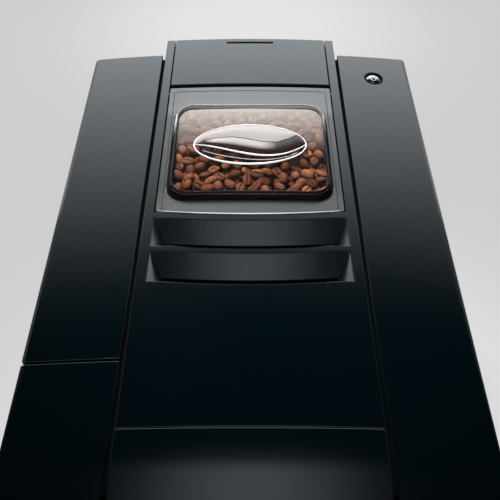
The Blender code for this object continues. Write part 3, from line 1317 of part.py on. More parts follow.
def water_tank():
    body = slab(TANK_OUTER_X, TANK_INNER_X, TANK_BACK_Y, TANK_FRONT_Y, WALL + FIT, bottom_z=TANK_BOTTOM)
    tank = piece("water_tank", body, tank_clear, (VALVE_X, VALVE_Y, TANK_BOTTOM))
    cut(tank, box(
        (TANK_OUTER_X + TANK_WALL, TANK_FRONT_Y + TANK_WALL, TANK_BOTTOM + TANK_WALL),
        (TANK_INNER_X - TANK_WALL, TANK_BACK_Y - TANK_WALL, BODY_HEIGHT + OVERRUN), "Z", TANK_CORNER,
    ))
    foot = Vector((VALVE_X, VALVE_Y, TANK_BOTTOM))
    reach = Vector((0, 0, OVERRUN))
    cut(tank, rod(VALVE_SPIGOT_RADIUS + FIT, foot - reach, foot + reach))
    shelf_top = TANK_BOTTOM - FIT
    shelf_low = shelf_top - SHELF_THICKNESS
    frame_side = -FRAME_OUTER_X - FIT
    shelf = piece("tank_shelf", box(
        (WALL + FIT - SIDE_X, FRAME_FRONT_Y + OVERRUN, shelf_low), (frame_side, TANK_BACK_Y, shelf_top),
    ), inner_plastic)
    join(shelf, box(
        (frame_side - WALL, FRAME_FRONT_Y + OVERRUN, shelf_low - SHELF_LEG),
        (frame_side, TANK_BACK_Y, shelf_low + FIT),
    ))
    cut(shelf, rod(VALVE_BODY_RADIUS + FIT, foot - reach * 3, foot + reach))
    valve = [
        (0, VALVE_SPIGOT_TOP), (VALVE_SPIGOT_RADIUS, VALVE_SPIGOT_TOP), (VALVE_SPIGOT_RADIUS, shelf_top),
        (VALVE_BODY_RADIUS, shelf_top), (VALVE_BODY_RADIUS, VALVE_BODY_BOTTOM),
        (SPIGOT_RADIUS, VALVE_BODY_BOTTOM), (SPIGOT_RADIUS, VALVE_STEM_BOTTOM), (0, VALVE_STEM_BOTTOM),
    ]
    turned("tank_valve", valve, brew_plastic, upright(VALVE_X, VALVE_Y), steps=24)


def niche_wall():
    back = FRAME_FRONT_Y - FIT
    wall_low = TRAY_TOP + 2 * FIT
    wall = piece("niche_wall", box(
        (-INSIDE_HALF, NICHE_BACK_Y, wall_low), (INSIDE_HALF, back, NICHE_TOP),
    ), dark_plastic)
    join(wall, box(
        (-INSIDE_HALF, FRONT_Y + WALL + FIT, NICHE_TOP - NICHE_CEILING), (INSIDE_HALF, back, NICHE_TOP),
    ))
    cut(wall, box(
        (-DOOR_HALF, NICHE_BACK_Y - OVERRUN, wall_low - OVERRUN), (DOOR_HALF, back + OVERRUN, DOOR_TOP),
    ))


def front_panel():
    panel_low = NICHE_TOP + FIT
    panel_back = COVER_FRONT_Y - FIT
    body = slab(-SPINE_HALF, SPINE_HALF, panel_back, FRONT_Y, 0.0, bottom_z=panel_low)
    panel = piece("front_panel", body, casing)
    cut(panel, slab(
        WALL - SPINE_HALF, SPINE_HALF - WALL, panel_back + OVERRUN, FRONT_Y, WALL,
        bottom_z=panel_low - OVERRUN,
    ))
    hole_half = DISPLAY_HALF + FIT
    cut(panel, box(
        (-hole_half, FRONT_Y - OVERRUN, DISPLAY_LOW - FIT),
        (hole_half, FRONT_Y + WALL + OVERRUN, DISPLAY_HIGH + FIT),
    ))
    display = piece("display_window", box(
        (-DISPLAY_HALF, FRONT_Y, DISPLAY_LOW), (DISPLAY_HALF, FRONT_Y + WALL + 2 * FIT, DISPLAY_HIGH),
    ), display_glass)
    flange_front = FRONT_Y + WALL + FIT
    join(display, box(
        (-DISPLAY_HALF - DISPLAY_FLANGE, flange_front, DISPLAY_LOW - DISPLAY_FLANGE),
        (DISPLAY_HALF + DISPLAY_FLANGE, flange_front + DISPLAY_THICKNESS, DISPLAY_HIGH + DISPLAY_FLANGE),
    ))
    number = 1
    for x in (-KEY_X, KEY_X):
        for z in reversed(KEY_HEIGHTS):
            cut(panel, rod(
                KEY_RADIUS + FIT, (x, FRONT_Y - OVERRUN, z), (x, FRONT_Y + WALL + OVERRUN, z), segments=24,
            ))
            under = -WALL - FIT
            key = [
                (0, KEY_PROUD), (KEY_RADIUS, KEY_PROUD), (KEY_RADIUS, under),
                (KEY_RADIUS + KEY_FLANGE, under), (KEY_RADIUS + KEY_FLANGE, under - KEY_FLANGE),
                (KEY_STEM_RADIUS, under - KEY_FLANGE), (KEY_STEM_RADIUS, under - KEY_STEM),
                (0, under - KEY_STEM),
            ]
            turned(f"menu_button_{number}", key, dark_plastic, facing_front(x, FRONT_Y, z), steps=24)
            number += 1


def control_board():
    skin_back = FRONT_Y + WALL
    board_front = skin_back + BOARD_GAP
    board = piece("control_board", box(
        (-BOARD_HALF, board_front, BOARD_LOW), (BOARD_HALF, board_front + BOARD_THICKNESS, BOARD_HIGH),
    ), board_green)
    for x in (-POST_X, POST_X):
        for z in POST_HEIGHTS:
            join(board, rod(
                POST_RADIUS, (x, skin_back + FIT, z), (x, board_front + BOARD_THICKNESS / 2, z), segments=16,
            ))


def coffee_spout():
    top = Vector((0, SPOUT_BACK_Y, SPOUT_HIGH))
    carriage_front = SPOUT_BACK_Y + FIT
    piece("spout_carriage", box(
        (-CARRIAGE_HALF, carriage_front, CARRIAGE_LOW), (CARRIAGE_HALF, NICHE_BACK_Y - FIT, CARRIAGE_HIGH),
    ), inner_plastic, top)
    cover = piece("spout_cover", box(
        (-SPOUT_HALF, SPOUT_FRONT_Y, SPOUT_LOW), (SPOUT_HALF, SPOUT_BACK_Y, SPOUT_HIGH), "Z", SPOUT_ROUND,
    ), casing, top)
    cut(cover, box(
        (WALL - SPOUT_HALF, SPOUT_FRONT_Y + WALL, SPOUT_LOW + WALL),
        (SPOUT_HALF - WALL, SPOUT_BACK_Y + OVERRUN, SPOUT_HIGH - WALL), "Z", SPOUT_ROUND - WALL,
    ))
    cut(cover, box(
        (WALL - SPOUT_HALF, SPOUT_BACK_Y - 2 * SPOUT_ROUND, SPOUT_LOW + WALL),
        (SPOUT_HALF - WALL, SPOUT_BACK_Y - SPOUT_ROUND, SPOUT_HIGH - WALL),
    ))
    for side, x in (("left", -NOZZLE_X), ("right", NOZZLE_X)):
        cut(cover, rod(
            NOZZLE_RADIUS + FIT, (x, NOZZLE_Y, SPOUT_LOW - OVERRUN), (x, NOZZLE_Y, NOZZLE_HIGH + FIT),
            segments=24,
        ))
        nozzle = [
            (NOZZLE_BORE, NOZZLE_HIGH), (NOZZLE_RADIUS, NOZZLE_HIGH), (NOZZLE_RADIUS, SPOUT_LOW),
            (NOZZLE_RADIUS * 0.8, NOZZLE_LOW), (NOZZLE_BORE, NOZZLE_LOW),
        ]
        turned(f"coffee_nozzle_{side}", nozzle, silver_plastic, upright(x, NOZZLE_Y), closed=True, steps=24)


def drip_tray():
    fascia_back = FRONT_Y + FASCIA_THICKNESS
    tray = piece("drip_tray", box(
        (-TRAY_HALF, FRONT_Y, CASING_LOW), (TRAY_HALF, TRAY_BACK_Y, TRAY_TOP),
    ), dark_plastic)
    join(tray, box(
        (-FASCIA_HALF, -BODY_DEPTH / 2, CASING_LOW), (FASCIA_HALF, fascia_back, TRAY_TOP), "X", PROUD,
    ))
    inner = TRAY_HALF - TRAY_WALL
    cavity_front = fascia_back + FIT
    cavity_low = CASING_LOW + TRAY_WALL
    cavity_back = TRAY_BACK_Y - TRAY_WALL
    cut(tray, box(
        (-inner, cavity_front, GRID_LOW - FIT), (inner, cavity_back, TRAY_TOP + OVERRUN),
    ))
    cut(tray, box(
        (TRAY_LEDGE - inner, cavity_front + TRAY_LEDGE, cavity_low),
        (inner - TRAY_LEDGE, cavity_back, TRAY_TOP + OVERRUN),
    ))
    grid_half = inner - FIT
    grid_front = cavity_front + FIT
    grid = piece("drip_grid", box(
        (-grid_half, grid_front, GRID_LOW), (grid_half, GRID_BACK_Y, GRID_LOW + GRID_THICKNESS),
    ), chrome)
    pitch = 2 * (grid_half - GRID_MARGIN) / GRID_SLOTS
    for n in range(GRID_SLOTS):
        x = pitch * (n - (GRID_SLOTS - 1) / 2)
        cut(grid, box(
            (x - GRID_SLOT_WIDTH / 2, grid_front + GRID_MARGIN, GRID_LOW - OVERRUN),
            (x + GRID_SLOT_WIDTH / 2, GRID_BACK_Y - GRID_MARGIN, GRID_LOW + 2 * OVERRUN),
        ))
    bin_low = cavity_low + FIT
    bin_front = FRAME_FRONT_Y + FIT / 2
    container = piece("grounds_container", box(
        (-BIN_HALF, bin_front, bin_low), (BIN_HALF, BIN_BACK_Y, BIN_TOP), "Z", BIN_ROUND,
    ), dark_plastic)
    cut(container, box(
        (BIN_WALL - BIN_HALF, bin_front + BIN_WALL, bin_low + BIN_WALL),
        (BIN_HALF - BIN_WALL, BIN_BACK_Y - BIN_WALL, BIN_TOP + OVERRUN), "Z", BIN_ROUND - BIN_WALL,
    ))


base_and_feet()
frame_plates()
left_panel_and_tank_lid()
right_panel_and_power_button()
centre_cover()
rear_cover()
mains_inlet_and_switch()
powder_flap()
hopper_lid()
bean_relief()
lid_seal()
bean_hopper_and_beans()
grinder()
powder_funnel()
brew_unit()
water_circuit()
water_hose()
water_tank()
niche_wall()
front_panel()
control_board()
coffee_spout()
drip_tray()
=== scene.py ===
"""Looks of a countertop bean to cup coffee machine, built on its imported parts.

Metres, +Z up, the front faces -Y. The top slopes down to the front with a slight crown.
"""

import json
import math
import random

import bmesh
import bpy
from mathutils import Matrix, Vector
from mathutils.bvhtree import BVHTree

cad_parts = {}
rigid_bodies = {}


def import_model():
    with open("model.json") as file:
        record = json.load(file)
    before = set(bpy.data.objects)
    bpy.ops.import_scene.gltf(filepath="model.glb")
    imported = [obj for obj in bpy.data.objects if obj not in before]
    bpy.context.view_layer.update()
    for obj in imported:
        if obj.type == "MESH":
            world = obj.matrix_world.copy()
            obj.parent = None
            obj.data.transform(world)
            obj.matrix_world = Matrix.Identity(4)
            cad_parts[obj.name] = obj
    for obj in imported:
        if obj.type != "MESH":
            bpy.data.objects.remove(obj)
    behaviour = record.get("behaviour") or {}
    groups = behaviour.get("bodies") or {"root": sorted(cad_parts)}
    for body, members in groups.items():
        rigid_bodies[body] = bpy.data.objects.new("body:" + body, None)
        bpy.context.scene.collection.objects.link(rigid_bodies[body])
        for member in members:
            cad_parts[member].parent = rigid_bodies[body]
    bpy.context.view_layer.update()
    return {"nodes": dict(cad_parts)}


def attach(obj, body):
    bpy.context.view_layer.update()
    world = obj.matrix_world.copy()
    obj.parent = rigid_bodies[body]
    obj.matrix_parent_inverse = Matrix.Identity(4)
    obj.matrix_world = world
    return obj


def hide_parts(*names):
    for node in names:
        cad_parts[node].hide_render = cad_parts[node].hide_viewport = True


for leftover in list(bpy.data.objects):
    bpy.data.objects.remove(leftover, do_unlink=True)
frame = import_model()
nodes = frame["nodes"]


# Camera. It looks down on the sloping top from above the front, on the machine's middle
# line. Its place follows from the vanishing point of the straight grooves.

CAMERA_PLACE = (0.0, -0.3052, 0.6067)
CAMERA_PITCH = 45.3  # degrees under the horizon
CAMERA_LENS = 43.2
camera_data = bpy.data.cameras.new("camera")
camera_data.lens = CAMERA_LENS
camera_data.sensor_width = 36
camera_data.clip_start = 0.01
camera = bpy.data.objects.new("camera", camera_data)
camera.location = CAMERA_PLACE
camera.rotation_euler = (math.radians(90 - CAMERA_PITCH), 0, 0)
bpy.context.scene.collection.objects.link(camera)
bpy.context.scene.camera = camera
bpy.context.scene.view_settings.view_transform = "Standard"
bpy.context.scene.view_settings.look = "None"


# Floor. A pale grey studio sweep, evenly lit, with a painted pool of brighter light behind the
# machine, in its own glow. Part of its light is its own, so that the machine's shadow stays faint,
# and reflections show about an eighth of that.

FLOOR_SIZE = 9.0
POOL_CENTRE = (0.0, 1.02, 0.0)
POOL_RADIUS = 0.62
FLOOR_GREY = (0.560, 0.556, 0.554, 1)
# Painted light: the brighter glow of the pool behind the machine
POOL_GREY = (0.735, 0.730, 0.728, 1)
MATT_GREY = (0.10, 0.10, 0.10, 1)
GLOSS_SHARE = 0.13  # how much of the floor's own light reflections show
floor_mesh = bpy.data.meshes.new("floor")
bm = bmesh.new()
bmesh.ops.create_grid(bm, x_segments=2, y_segments=2, size=FLOOR_SIZE / 2)
bm.to_mesh(floor_mesh)
bm.free()
floor = bpy.data.objects.new("floor", floor_mesh)
bpy.context.scene.collection.objects.link(floor)


def new_material(name):
    """A material with its node tree and its shader."""
    material = bpy.data.materials.new(name)
    material.use_nodes = True
    tree = material.node_tree
    return material, tree, tree.nodes["Principled BSDF"]


def set_inputs(node, **values):
    """Sets a node's inputs by their names, with _ for a space."""
    for name, value in values.items():
        node.inputs[name.replace("_", " ")].default_value = value


def new_node(tree, kind, **values):
    """A node of a kind in a tree, with some of its inputs set."""
    node = tree.nodes.new("ShaderNode" + kind)
    set_inputs(node, **values)
    return node


def link(source, output, target, entry):
    """Joins a node's output to another node's input."""
    source.id_data.links.new(source.outputs[output], target.inputs[entry])


floor_material, tree, shader = new_material("studio_floor")
set_inputs(shader, Base_Color=MATT_GREY, Roughness=1.0, Specular_IOR_Level=0.0)
place = new_node(tree, "NewGeometry")
reach = new_node(tree, "VectorMath")
reach.operation = "DISTANCE"
reach.inputs[1].default_value = POOL_CENTRE
fade = new_node(tree, "MapRange")
fade.interpolation_type = "SMOOTHERSTEP"
set_inputs(fade, From_Min=0.0, From_Max=POOL_RADIUS)
blend = new_node(tree, "Mix")
blend.data_type = "RGBA"
set_inputs(blend, A=POOL_GREY, B=FLOOR_GREY)
link(place, "Position", reach, 0)
link(reach, "Value", fade, "Value")
link(fade, "Result", blend, "Factor")
link(blend, "Result", shader, "Emission Color")
ray = new_node(tree, "LightPath")
own_light = new_node(tree, "MapRange", To_Min=1.0, To_Max=GLOSS_SHARE)
link(ray, "Is Glossy Ray", own_light, "Value")
link(own_light, "Result", shader, "Emission Strength")
floor_mesh.materials.append(floor_material)


# Studio light. A large soft panel behind fades out between 40 and 66 degrees up, so the top goes
# from grey at the back to near black in front. Overhead and front panels draw the steps and the
# face, lamps pick out the beans and the steps' ends, and the camera sees a plain backdrop.

PANEL_LIGHT = 4.9
FILL_LIGHT = 0.004
OVERHEAD_LIGHT = 1.35
OVERHEAD_SPAN = (82, 98, 128, 142)  # degrees, as below: it starts, is full, is full, ends
OVERHEAD_REACH = 0.34  # sideways share of a direction where it has ended
# Degrees from the horizon behind, over the top, to the horizon in front; share of the panel's light
PANEL_FADE = (
    (40, 0.86), (44, 0.69), (47, 0.575), (52, 0.375), (57, 0.182), (61, 0.060), (64, 0.004),
    (66, 0.0), (138, 0.0), (150, 0.10), (165, 0.22),
)
FRONT_SHARE = 0.22  # share of the panel's light at the horizon in front
PANEL_TINT = (0.94, 1.0, 1.05, 1)
SIDE_FADE = 0.42  # square of the sideways share of a direction where the panel has faded
SIDE_SHARE = 0.12  # share of its light that is left there
world = bpy.data.worlds.new("studio")
bpy.context.scene.world = world
world.use_nodes = True
tree = world.node_tree
sky = tree.nodes["Background"]
sky.inputs["Color"].default_value = PANEL_TINT
direction = new_node(tree, "TexCoord")
split = new_node(tree, "SeparateXYZ")
elevation = new_node(tree, "Math")
elevation.operation = "ARCTAN2"
half_turn = new_node(tree, "Math")
half_turn.operation = "DIVIDE"
half_turn.inputs[1].default_value = math.pi
height = new_node(tree, "ValToRGB")
height.color_ramp.interpolation = "LINEAR"
steps = height.color_ramp.elements
steps[0].position = 0.0
steps[0].color = (1, 1, 1, 1)
steps[1].position = 1.0
steps[1].color = (FRONT_SHARE, FRONT_SHARE, FRONT_SHARE, 1)
for degrees, share in PANEL_FADE:
    step = steps.new(degrees / 180)
    step.color = (share, share, share, 1)
sideways = new_node(tree, "Math")
sideways.operation = "MULTIPLY"
ends = new_node(
    tree, "MapRange", From_Max=SIDE_FADE, To_Min=PANEL_LIGHT, To_Max=PANEL_LIGHT * SIDE_SHARE
)
level = new_node(tree, "Math")
level.operation = "MULTIPLY_ADD"
span = new_node(tree, "ValToRGB")
span.color_ramp.interpolation = "EASE"
span.color_ramp.elements[1].color = (0, 0, 0, 1)
for degrees, share in zip(OVERHEAD_SPAN, (0, 1, 1, 0)):
    step = span.color_ramp.elements.new(degrees / 180)
    step.color = (share, share, share, 1)
off_middle = new_node(tree, "Math")
off_middle.operation = "ABSOLUTE"
middle = new_node(tree, "MapRange")
middle.interpolation_type = "SMOOTHSTEP"
set_inputs(middle, From_Max=OVERHEAD_REACH, To_Min=OVERHEAD_LIGHT, To_Max=0.0)
overhead = new_node(tree, "Math")
overhead.operation = "MULTIPLY_ADD"
overhead.inputs[2].default_value = FILL_LIGHT
link(direction, "Generated", split, "Vector")
link(split, "Z", elevation, 0)
link(split, "Y", elevation, 1)
link(elevation, "Value", half_turn, 0)
link(half_turn, "Value", height, "Fac")
link(split, "X", sideways, 0)
link(split, "X", sideways, 1)
link(sideways, "Value", ends, "Value")
link(height, "Color", level, 0)
link(ends, "Result", level, 1)
link(half_turn, "Value", span, "Fac")
link(split, "X", off_middle, 0)
link(off_middle, "Value", middle, "Value")
link(span, "Color", overhead, 0)
link(middle, "Result", overhead, 1)
link(overhead, "Value", level, 2)
link(level, "Value", sky, "Strength")
backdrop = new_node(tree, "Background", Color=FLOOR_GREY)
ray = new_node(tree, "LightPath")
seen = new_node(tree, "MixShader")
link(ray, "Is Camera Ray", seen, "Fac")
link(sky, "Background", seen, 1)
link(backdrop, "Background", seen, 2)
link(seen, "Shader", tree.nodes["World Output"], "Surface")


def soft_light(name, place, target, size, power, spread, in_gloss, in_matt):
    """A rectangular studio lamp aimed at a point; it lights gloss or matt surfaces, or both."""
    lamp = bpy.data.lights.new(name, "AREA")
    lamp.shape = "RECTANGLE"
    lamp.size, lamp.size_y = size
    lamp.energy = power
    lamp.spread = math.radians(spread)
    obj = bpy.data.objects.new(name, lamp)
    obj.location = place
    aim = Vector(target) - Vector(place)
    obj.rotation_euler = aim.to_track_quat("-Z", "Y").to_euler()
    obj.visible_glossy = in_gloss
    obj.visible_transmission = False
    obj.visible_diffuse = in_matt
    bpy.context.scene.collection.objects.link(obj)


# Size, watts and spread in degrees, after the place and the aim where both are given
BEAN_LAMP = ((-0.22, 0.42, 1.15), (0, 0.08, 0.34), (0.3, 0.3), 2.4, 40)
FACET_LAMP = ((0.17, 0.15), 0.0062, 36)
soft_light("bean_light", *BEAN_LAMP, in_gloss=False, in_matt=True)
for side, name in ((-1, "left"), (1, "right")):
    place = (side * 0.33, 0.275, 0.436)
    aim = (-side * 0.062, -0.01, 0.324)
    soft_light(f"facet_light_{name}", place, aim, *FACET_LAMP, in_gloss=True, in_matt=False)


# Moulded grain, shared by all plastics. A fine spark-eroded texture breaks up the gloss, and the
# sheen drifts slowly from moulding.

grain = bpy.data.node_groups.new("moulded_grain", "ShaderNodeTree")
grain.interface.new_socket("Gloss", in_out="INPUT", socket_type="NodeSocketFloat")
grain.interface.new_socket("Grain Size", in_out="INPUT", socket_type="NodeSocketFloat")
grain.interface.new_socket("Drift", in_out="INPUT", socket_type="NodeSocketFloat")
grain.interface.new_socket("Roughness", in_out="OUTPUT", socket_type="NodeSocketFloat")
grain.interface.new_socket("Height", in_out="OUTPUT", socket_type="NodeSocketFloat")
entry = grain.nodes.new("NodeGroupInput")
result = grain.nodes.new("NodeGroupOutput")
spot = new_node(grain, "TexCoord")
sparks = new_node(grain, "TexNoise", Detail=2.0)
slow = new_node(grain, "TexNoise", Scale=9.0)
centred = new_node(grain, "Math")
centred.operation = "SUBTRACT"
centred.inputs[1].default_value = 0.5
sheen = new_node(grain, "Math")
sheen.operation = "MULTIPLY_ADD"
link(spot, "Object", sparks, "Vector")
link(spot, "Object", slow, "Vector")
link(entry, "Grain Size", sparks, "Scale")
link(slow, "Fac", centred, 0)
link(centred, "Value", sheen, 0)
link(entry, "Drift", sheen, 1)
link(entry, "Gloss", sheen, 2)
link(sheen, "Value", result, "Roughness")
link(sparks, "Fac", result, "Height")


def moulded_plastic(name, colour, roughness, grain_size=1400, grain_depth=0.05, drift=0.05, gloss=0.5):
    """A moulded plastic: plain colour, fine grain in the gloss and the surface."""
    material, tree, shader = new_material(name)
    set_inputs(shader, Base_Color=(*colour, 1), Specular_IOR_Level=gloss)
    texture = new_node(tree, "Group")
    texture.node_tree = grain
    set_inputs(texture, Gloss=roughness, Grain_Size=grain_size, Drift=drift)
    bump = new_node(tree, "Bump", Strength=grain_depth, Distance=0.0002)
    link(texture, "Roughness", shader, "Roughness")
    link(texture, "Height", bump, "Height")
    link(bump, "Normal", shader, "Normal")
    return material


# Casing. Satin anthracite panels over the whole machine, moulded in one piece each, with their
# edges rounded by half a millimetre along every groove.

CASING_COLOUR = (0.0001, 0.0013, 0.0019)
CASING_EDGE = 0.0005
ROUNDING_LIMIT = 0.0003  # a rounded corner farther off the shell than this is put back on it
SHARP_EDGE = math.radians(14)
ROUNDED_EDGE = math.radians(20)
FLAT_FACES = math.radians(0.1)  # faces closer in direction than this become one
WELD = 0.000002
casing = moulded_plastic("casing_anthracite", CASING_COLOUR, 0.14, drift=0.03)


def moulded_shell(node, body, material, edge=CASING_EDGE, segments=2):
    """Stands for a CAD node: the same shell with its sharp edges rounded and its curves smooth."""
    bm = bmesh.new()
    bm.from_mesh(nodes[node].data)
    bmesh.ops.remove_doubles(bm, verts=bm.verts, dist=WELD)
    bmesh.ops.dissolve_limit(
        bm, angle_limit=FLAT_FACES, verts=bm.verts, edges=bm.edges, delimit={"NORMAL"}
    )
    for face in bm.faces:
        face.smooth = True
        face.material_index = 0
    for line in bm.edges:
        line.smooth = line.calc_face_angle(0) < SHARP_EDGE
    mesh = bpy.data.meshes.new(node + "_shell")
    bm.to_mesh(mesh)
    bm.free()
    for extra in [a.name for a in mesh.attributes if a.name == "custom_normal"]:
        mesh.attributes.remove(mesh.attributes[extra])
    mesh.materials.append(material)
    shell = bpy.data.objects.new(node + "_shell", mesh)
    bpy.context.scene.collection.objects.link(shell)
    bevel = shell.modifiers.new("edge", "BEVEL")
    bevel.width = edge
    bevel.segments = segments
    bevel.limit_method = "ANGLE"
    bevel.angle_limit = ROUNDED_EDGE
    bevel.use_clamp_overlap = False
    weigh = shell.modifiers.new("shading", "WEIGHTED_NORMAL")
    weigh.weight = 80
    weigh.keep_sharp = True
    graph = bpy.context.evaluated_depsgraph_get()
    rounded = bpy.data.meshes.new_from_object(shell.evaluated_get(graph))
    shell.modifiers.clear()
    corners = [vertex.co for vertex in mesh.vertices]
    surface = BVHTree.FromPolygons(corners, [tuple(face.vertices) for face in mesh.polygons])
    for vertex in rounded.vertices:
        nearest, _, _, distance = surface.find_nearest(vertex.co)
        if distance > ROUNDING_LIMIT:
            vertex.co = nearest
    shell.data = rounded
    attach(shell, body)
    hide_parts(node)
    return shell


for name in ("left_side_panel", "right_side_panel", "center_cover", "rear_cover", "front_panel"):
    moulded_shell(name, "chassis", casing)
moulded_shell("tank_lid", "tank_cover", casing)
moulded_shell("powder_flap", "flap", casing)
moulded_shell("spout_cover", "spout", casing)


# Places on the sloping top. x runs to the right, v forwards from the side panels' back edge, and
# w out of the surface. Everything from here to the power button is laid out with them.

TOP_SLOPE = math.radians(8)
SIDE_BACK_Y = 0.1997
BACK_Y = 0.2215
BACK_HEIGHT = 0.351
CROWN_RADIUS = 1.5


def on_top(x, v, w=0.0):
    """The point at a place on the top, as laid out above."""
    y = SIDE_BACK_Y - v * math.cos(TOP_SLOPE)
    z = BACK_HEIGHT + (y - BACK_Y) * math.tan(TOP_SLOPE) - x * x / (2 * CROWN_RADIUS)
    return Vector((x, y - w * math.sin(TOP_SLOPE), z + w * math.cos(TOP_SLOPE)))


def new_piece(name, points, faces, materials, body, smooth=True):
    """A piece from its points and faces, riding on a body."""
    mesh = bpy.data.meshes.new(name)
    mesh.from_pydata([tuple(p) for p in points], [], faces)
    for material in materials:
        mesh.materials.append(material)
    if smooth:
        mesh.shade_smooth()
    obj = bpy.data.objects.new(name, mesh)
    bpy.context.scene.collection.objects.link(obj)
    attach(obj, body)
    return obj


def bar_faces(count, backwards=False):
    """Faces of a bar with four corners at each of its cross-sections, and its two ends."""
    last = 4 * count
    faces = [(0, 1, 2, 3), (last - 1, last - 2, last - 3, last - 4)]
    for i in range(0, last - 4, 4):
        for j in range(4):
            k = (j + 1) % 4
            face = (i + j, i + k, i + 4 + k, i + 4 + j)
            faces.append((face[0], face[3], face[2], face[1]) if backwards else face)
    return faces


def strip(points, half_width, depth):
    """A closed flat band of the given depth along a line of points, wide in x."""
    corners = []
    for p in points:
        for dx, dz in ((-half_width, 0), (half_width, 0), (half_width, -depth), (-half_width, -depth)):
            corners.append(p + Vector((dx, 0, dz)))
    return corners, bar_faces(len(points), backwards=True)


# Shadow strips. Matt black strips lie deep in the grooves beside the centre cover and beside the
# lid and the flap, as painted shade in the grooves. They leave out the stretch beside the lid's
# hinge, so that the lid opens freely.

SPINE_HALF = 0.0759
GROOVE_MIDDLE = SPINE_HALF + 0.0013
LID_HALF = 0.0679
LID_GAP_MIDDLE = LID_HALF + 0.0006
SHADE_STRIP_DEPTH = 0.0012
SHADE_STRIPS = (
    # name, distance from the middle line, height over the top, half width, stretch in millimetres
    ("groove", GROOVE_MIDDLE, -0.0022, 0.00125, range(4, 400, 22)),
    ("flap_gap", LID_GAP_MIDDLE, -0.0016, 0.00018, range(-12, 39, 10)),
    ("lid_gap", LID_GAP_MIDDLE, -0.0016, 0.00018, range(66, 187, 20)),
)
# Painted shade: the matt black of these strips, of the flap's slot lining and of the louvre screens
painted_shade_black = moulded_plastic(
    "painted_shade_black", (0.0015, 0.0015, 0.0015), 1.0, grain_size=900, grain_depth=0.6, gloss=0.0
)
for side, side_name in ((-1, "left"), (1, "right")):
    for name, middle, height, half_width, stretch in SHADE_STRIPS:
        line = [on_top(side * middle, v / 1000, height) for v in stretch]
        points, faces = strip(line, half_width, SHADE_STRIP_DEPTH)
        name = f"{name}_seal_{side_name}"
        new_piece(name, points, faces, [painted_shade_black], "chassis", smooth=False)


# Lining of the flap's slot. The slot is a shallow finger grip in the moulded flap; the matt black
# lining inside it is painted shade.

GRIP_HALF = 0.0208
GRIP_V = -0.0161
GRIP_REACH = 0.0009
GRIP_SINK = 0.0009
GRIP_CORNERS = (
    (-GRIP_REACH, 0), (GRIP_REACH, 0.00025), (GRIP_REACH, -0.0003), (-GRIP_REACH, -0.0005),
)
grip = [on_top(GRIP_HALF * (n / 4 - 1), GRIP_V, -GRIP_SINK) for n in range(9)]
points = []
for p in grip:
    for dy, dz in GRIP_CORNERS:
        points.append(p + Vector((0, dy, dz)))
new_piece("flap_grip_lining", points, bar_faces(9), [painted_shade_black], "flap", smooth=False)


# Shade screens. A curved matt black screen hangs under each louvre's slot, as painted shade in
# the slot.

LIP_BULGE = 0.0043
LOUVRE_FRONTS = (0.2149, 0.2439)
SCREEN_HALF = 0.0574
SCREEN_BACK = 0.0115
SCREEN_CLEARANCE = 0.001
SCREEN_TOP = -0.0142
SCREEN_UNDERSIDE = -0.0150
for n, front_v in enumerate(LOUVRE_FRONTS):
    points = []
    for i in range(13):
        x = SCREEN_HALF * (i / 6 - 1)
        bow = LIP_BULGE * (1 - (x / LID_HALF) ** 2)
        back, front = front_v - SCREEN_BACK, front_v - SCREEN_CLEARANCE
        points += [on_top(x, v + bow, SCREEN_TOP) for v in (back, front)]
        points += [on_top(x, v + bow, SCREEN_UNDERSIDE) for v in (front, back)]
    name = f"louvre_screen_{n + 1}"
    new_piece(name, points, bar_faces(13), [painted_shade_black], "chassis", smooth=False)


# Bean container lid. A smoky grey frame, semi-gloss. Its colour carries painted light: paler
# bands at the back and the front, and painted shade along both sides, most on the left.

LID_FRONT_V = 0.184
# Painted light: the lid's tone at each place down the top
LID_PAINTED_LIGHT = (
    (0.047, 0.037), (0.062, 0.042), (0.075, 0.052), (0.086, 0.020), (0.160, 0.015),
    (0.178, 0.029), (0.190, 0.029),
)
LID_COOLNESS = (0.97, 1.0, 1.02)  # red, green and blue of a tone
# Painted shade: the share of the tone left at each x, darker at the sides
LID_SIDE_SHADE = ((-0.068, 0.75), (-0.050, 1.0), (0.050, 1.0), (0.068, 0.9))  # share of the tone at x


def along_top(tree, start_v, end_v):
    """Nodes that count from 0 to 1 down the top between two places: count, spot and its parts."""
    spot = new_node(tree, "TexCoord")
    split = new_node(tree, "SeparateXYZ")
    start_y, end_y = (SIDE_BACK_Y - v * math.cos(TOP_SLOPE) for v in (start_v, end_v))
    along = new_node(tree, "MapRange", From_Min=start_y, From_Max=end_y)
    link(spot, "Object", split, "Vector")
    link(split, "Y", along, "Value")
    return along, spot, split


def tone_ramp(tree, stops, tint=(1, 1, 1)):
    """A ramp of greys from (place, tone) stops, spread over its length; the last tone fills the end."""
    ramp = new_node(tree, "ValToRGB")
    first, last = stops[0][0], stops[-1][0]
    elements = ramp.color_ramp.elements
    for n, (place, tone) in enumerate(stops):
        share = (place - first) / (last - first)
        stop = elements[0] if n == 0 else elements.new(min(share, 0.999))
        stop.color = (*(tone * part for part in tint), 1)
    elements[-1].color = stop.color
    return ramp


lid_grey = moulded_plastic("lid_smoky_grey", (0.08, 0.08, 0.08), 0.2, grain_depth=0.02)
tree = lid_grey.node_tree
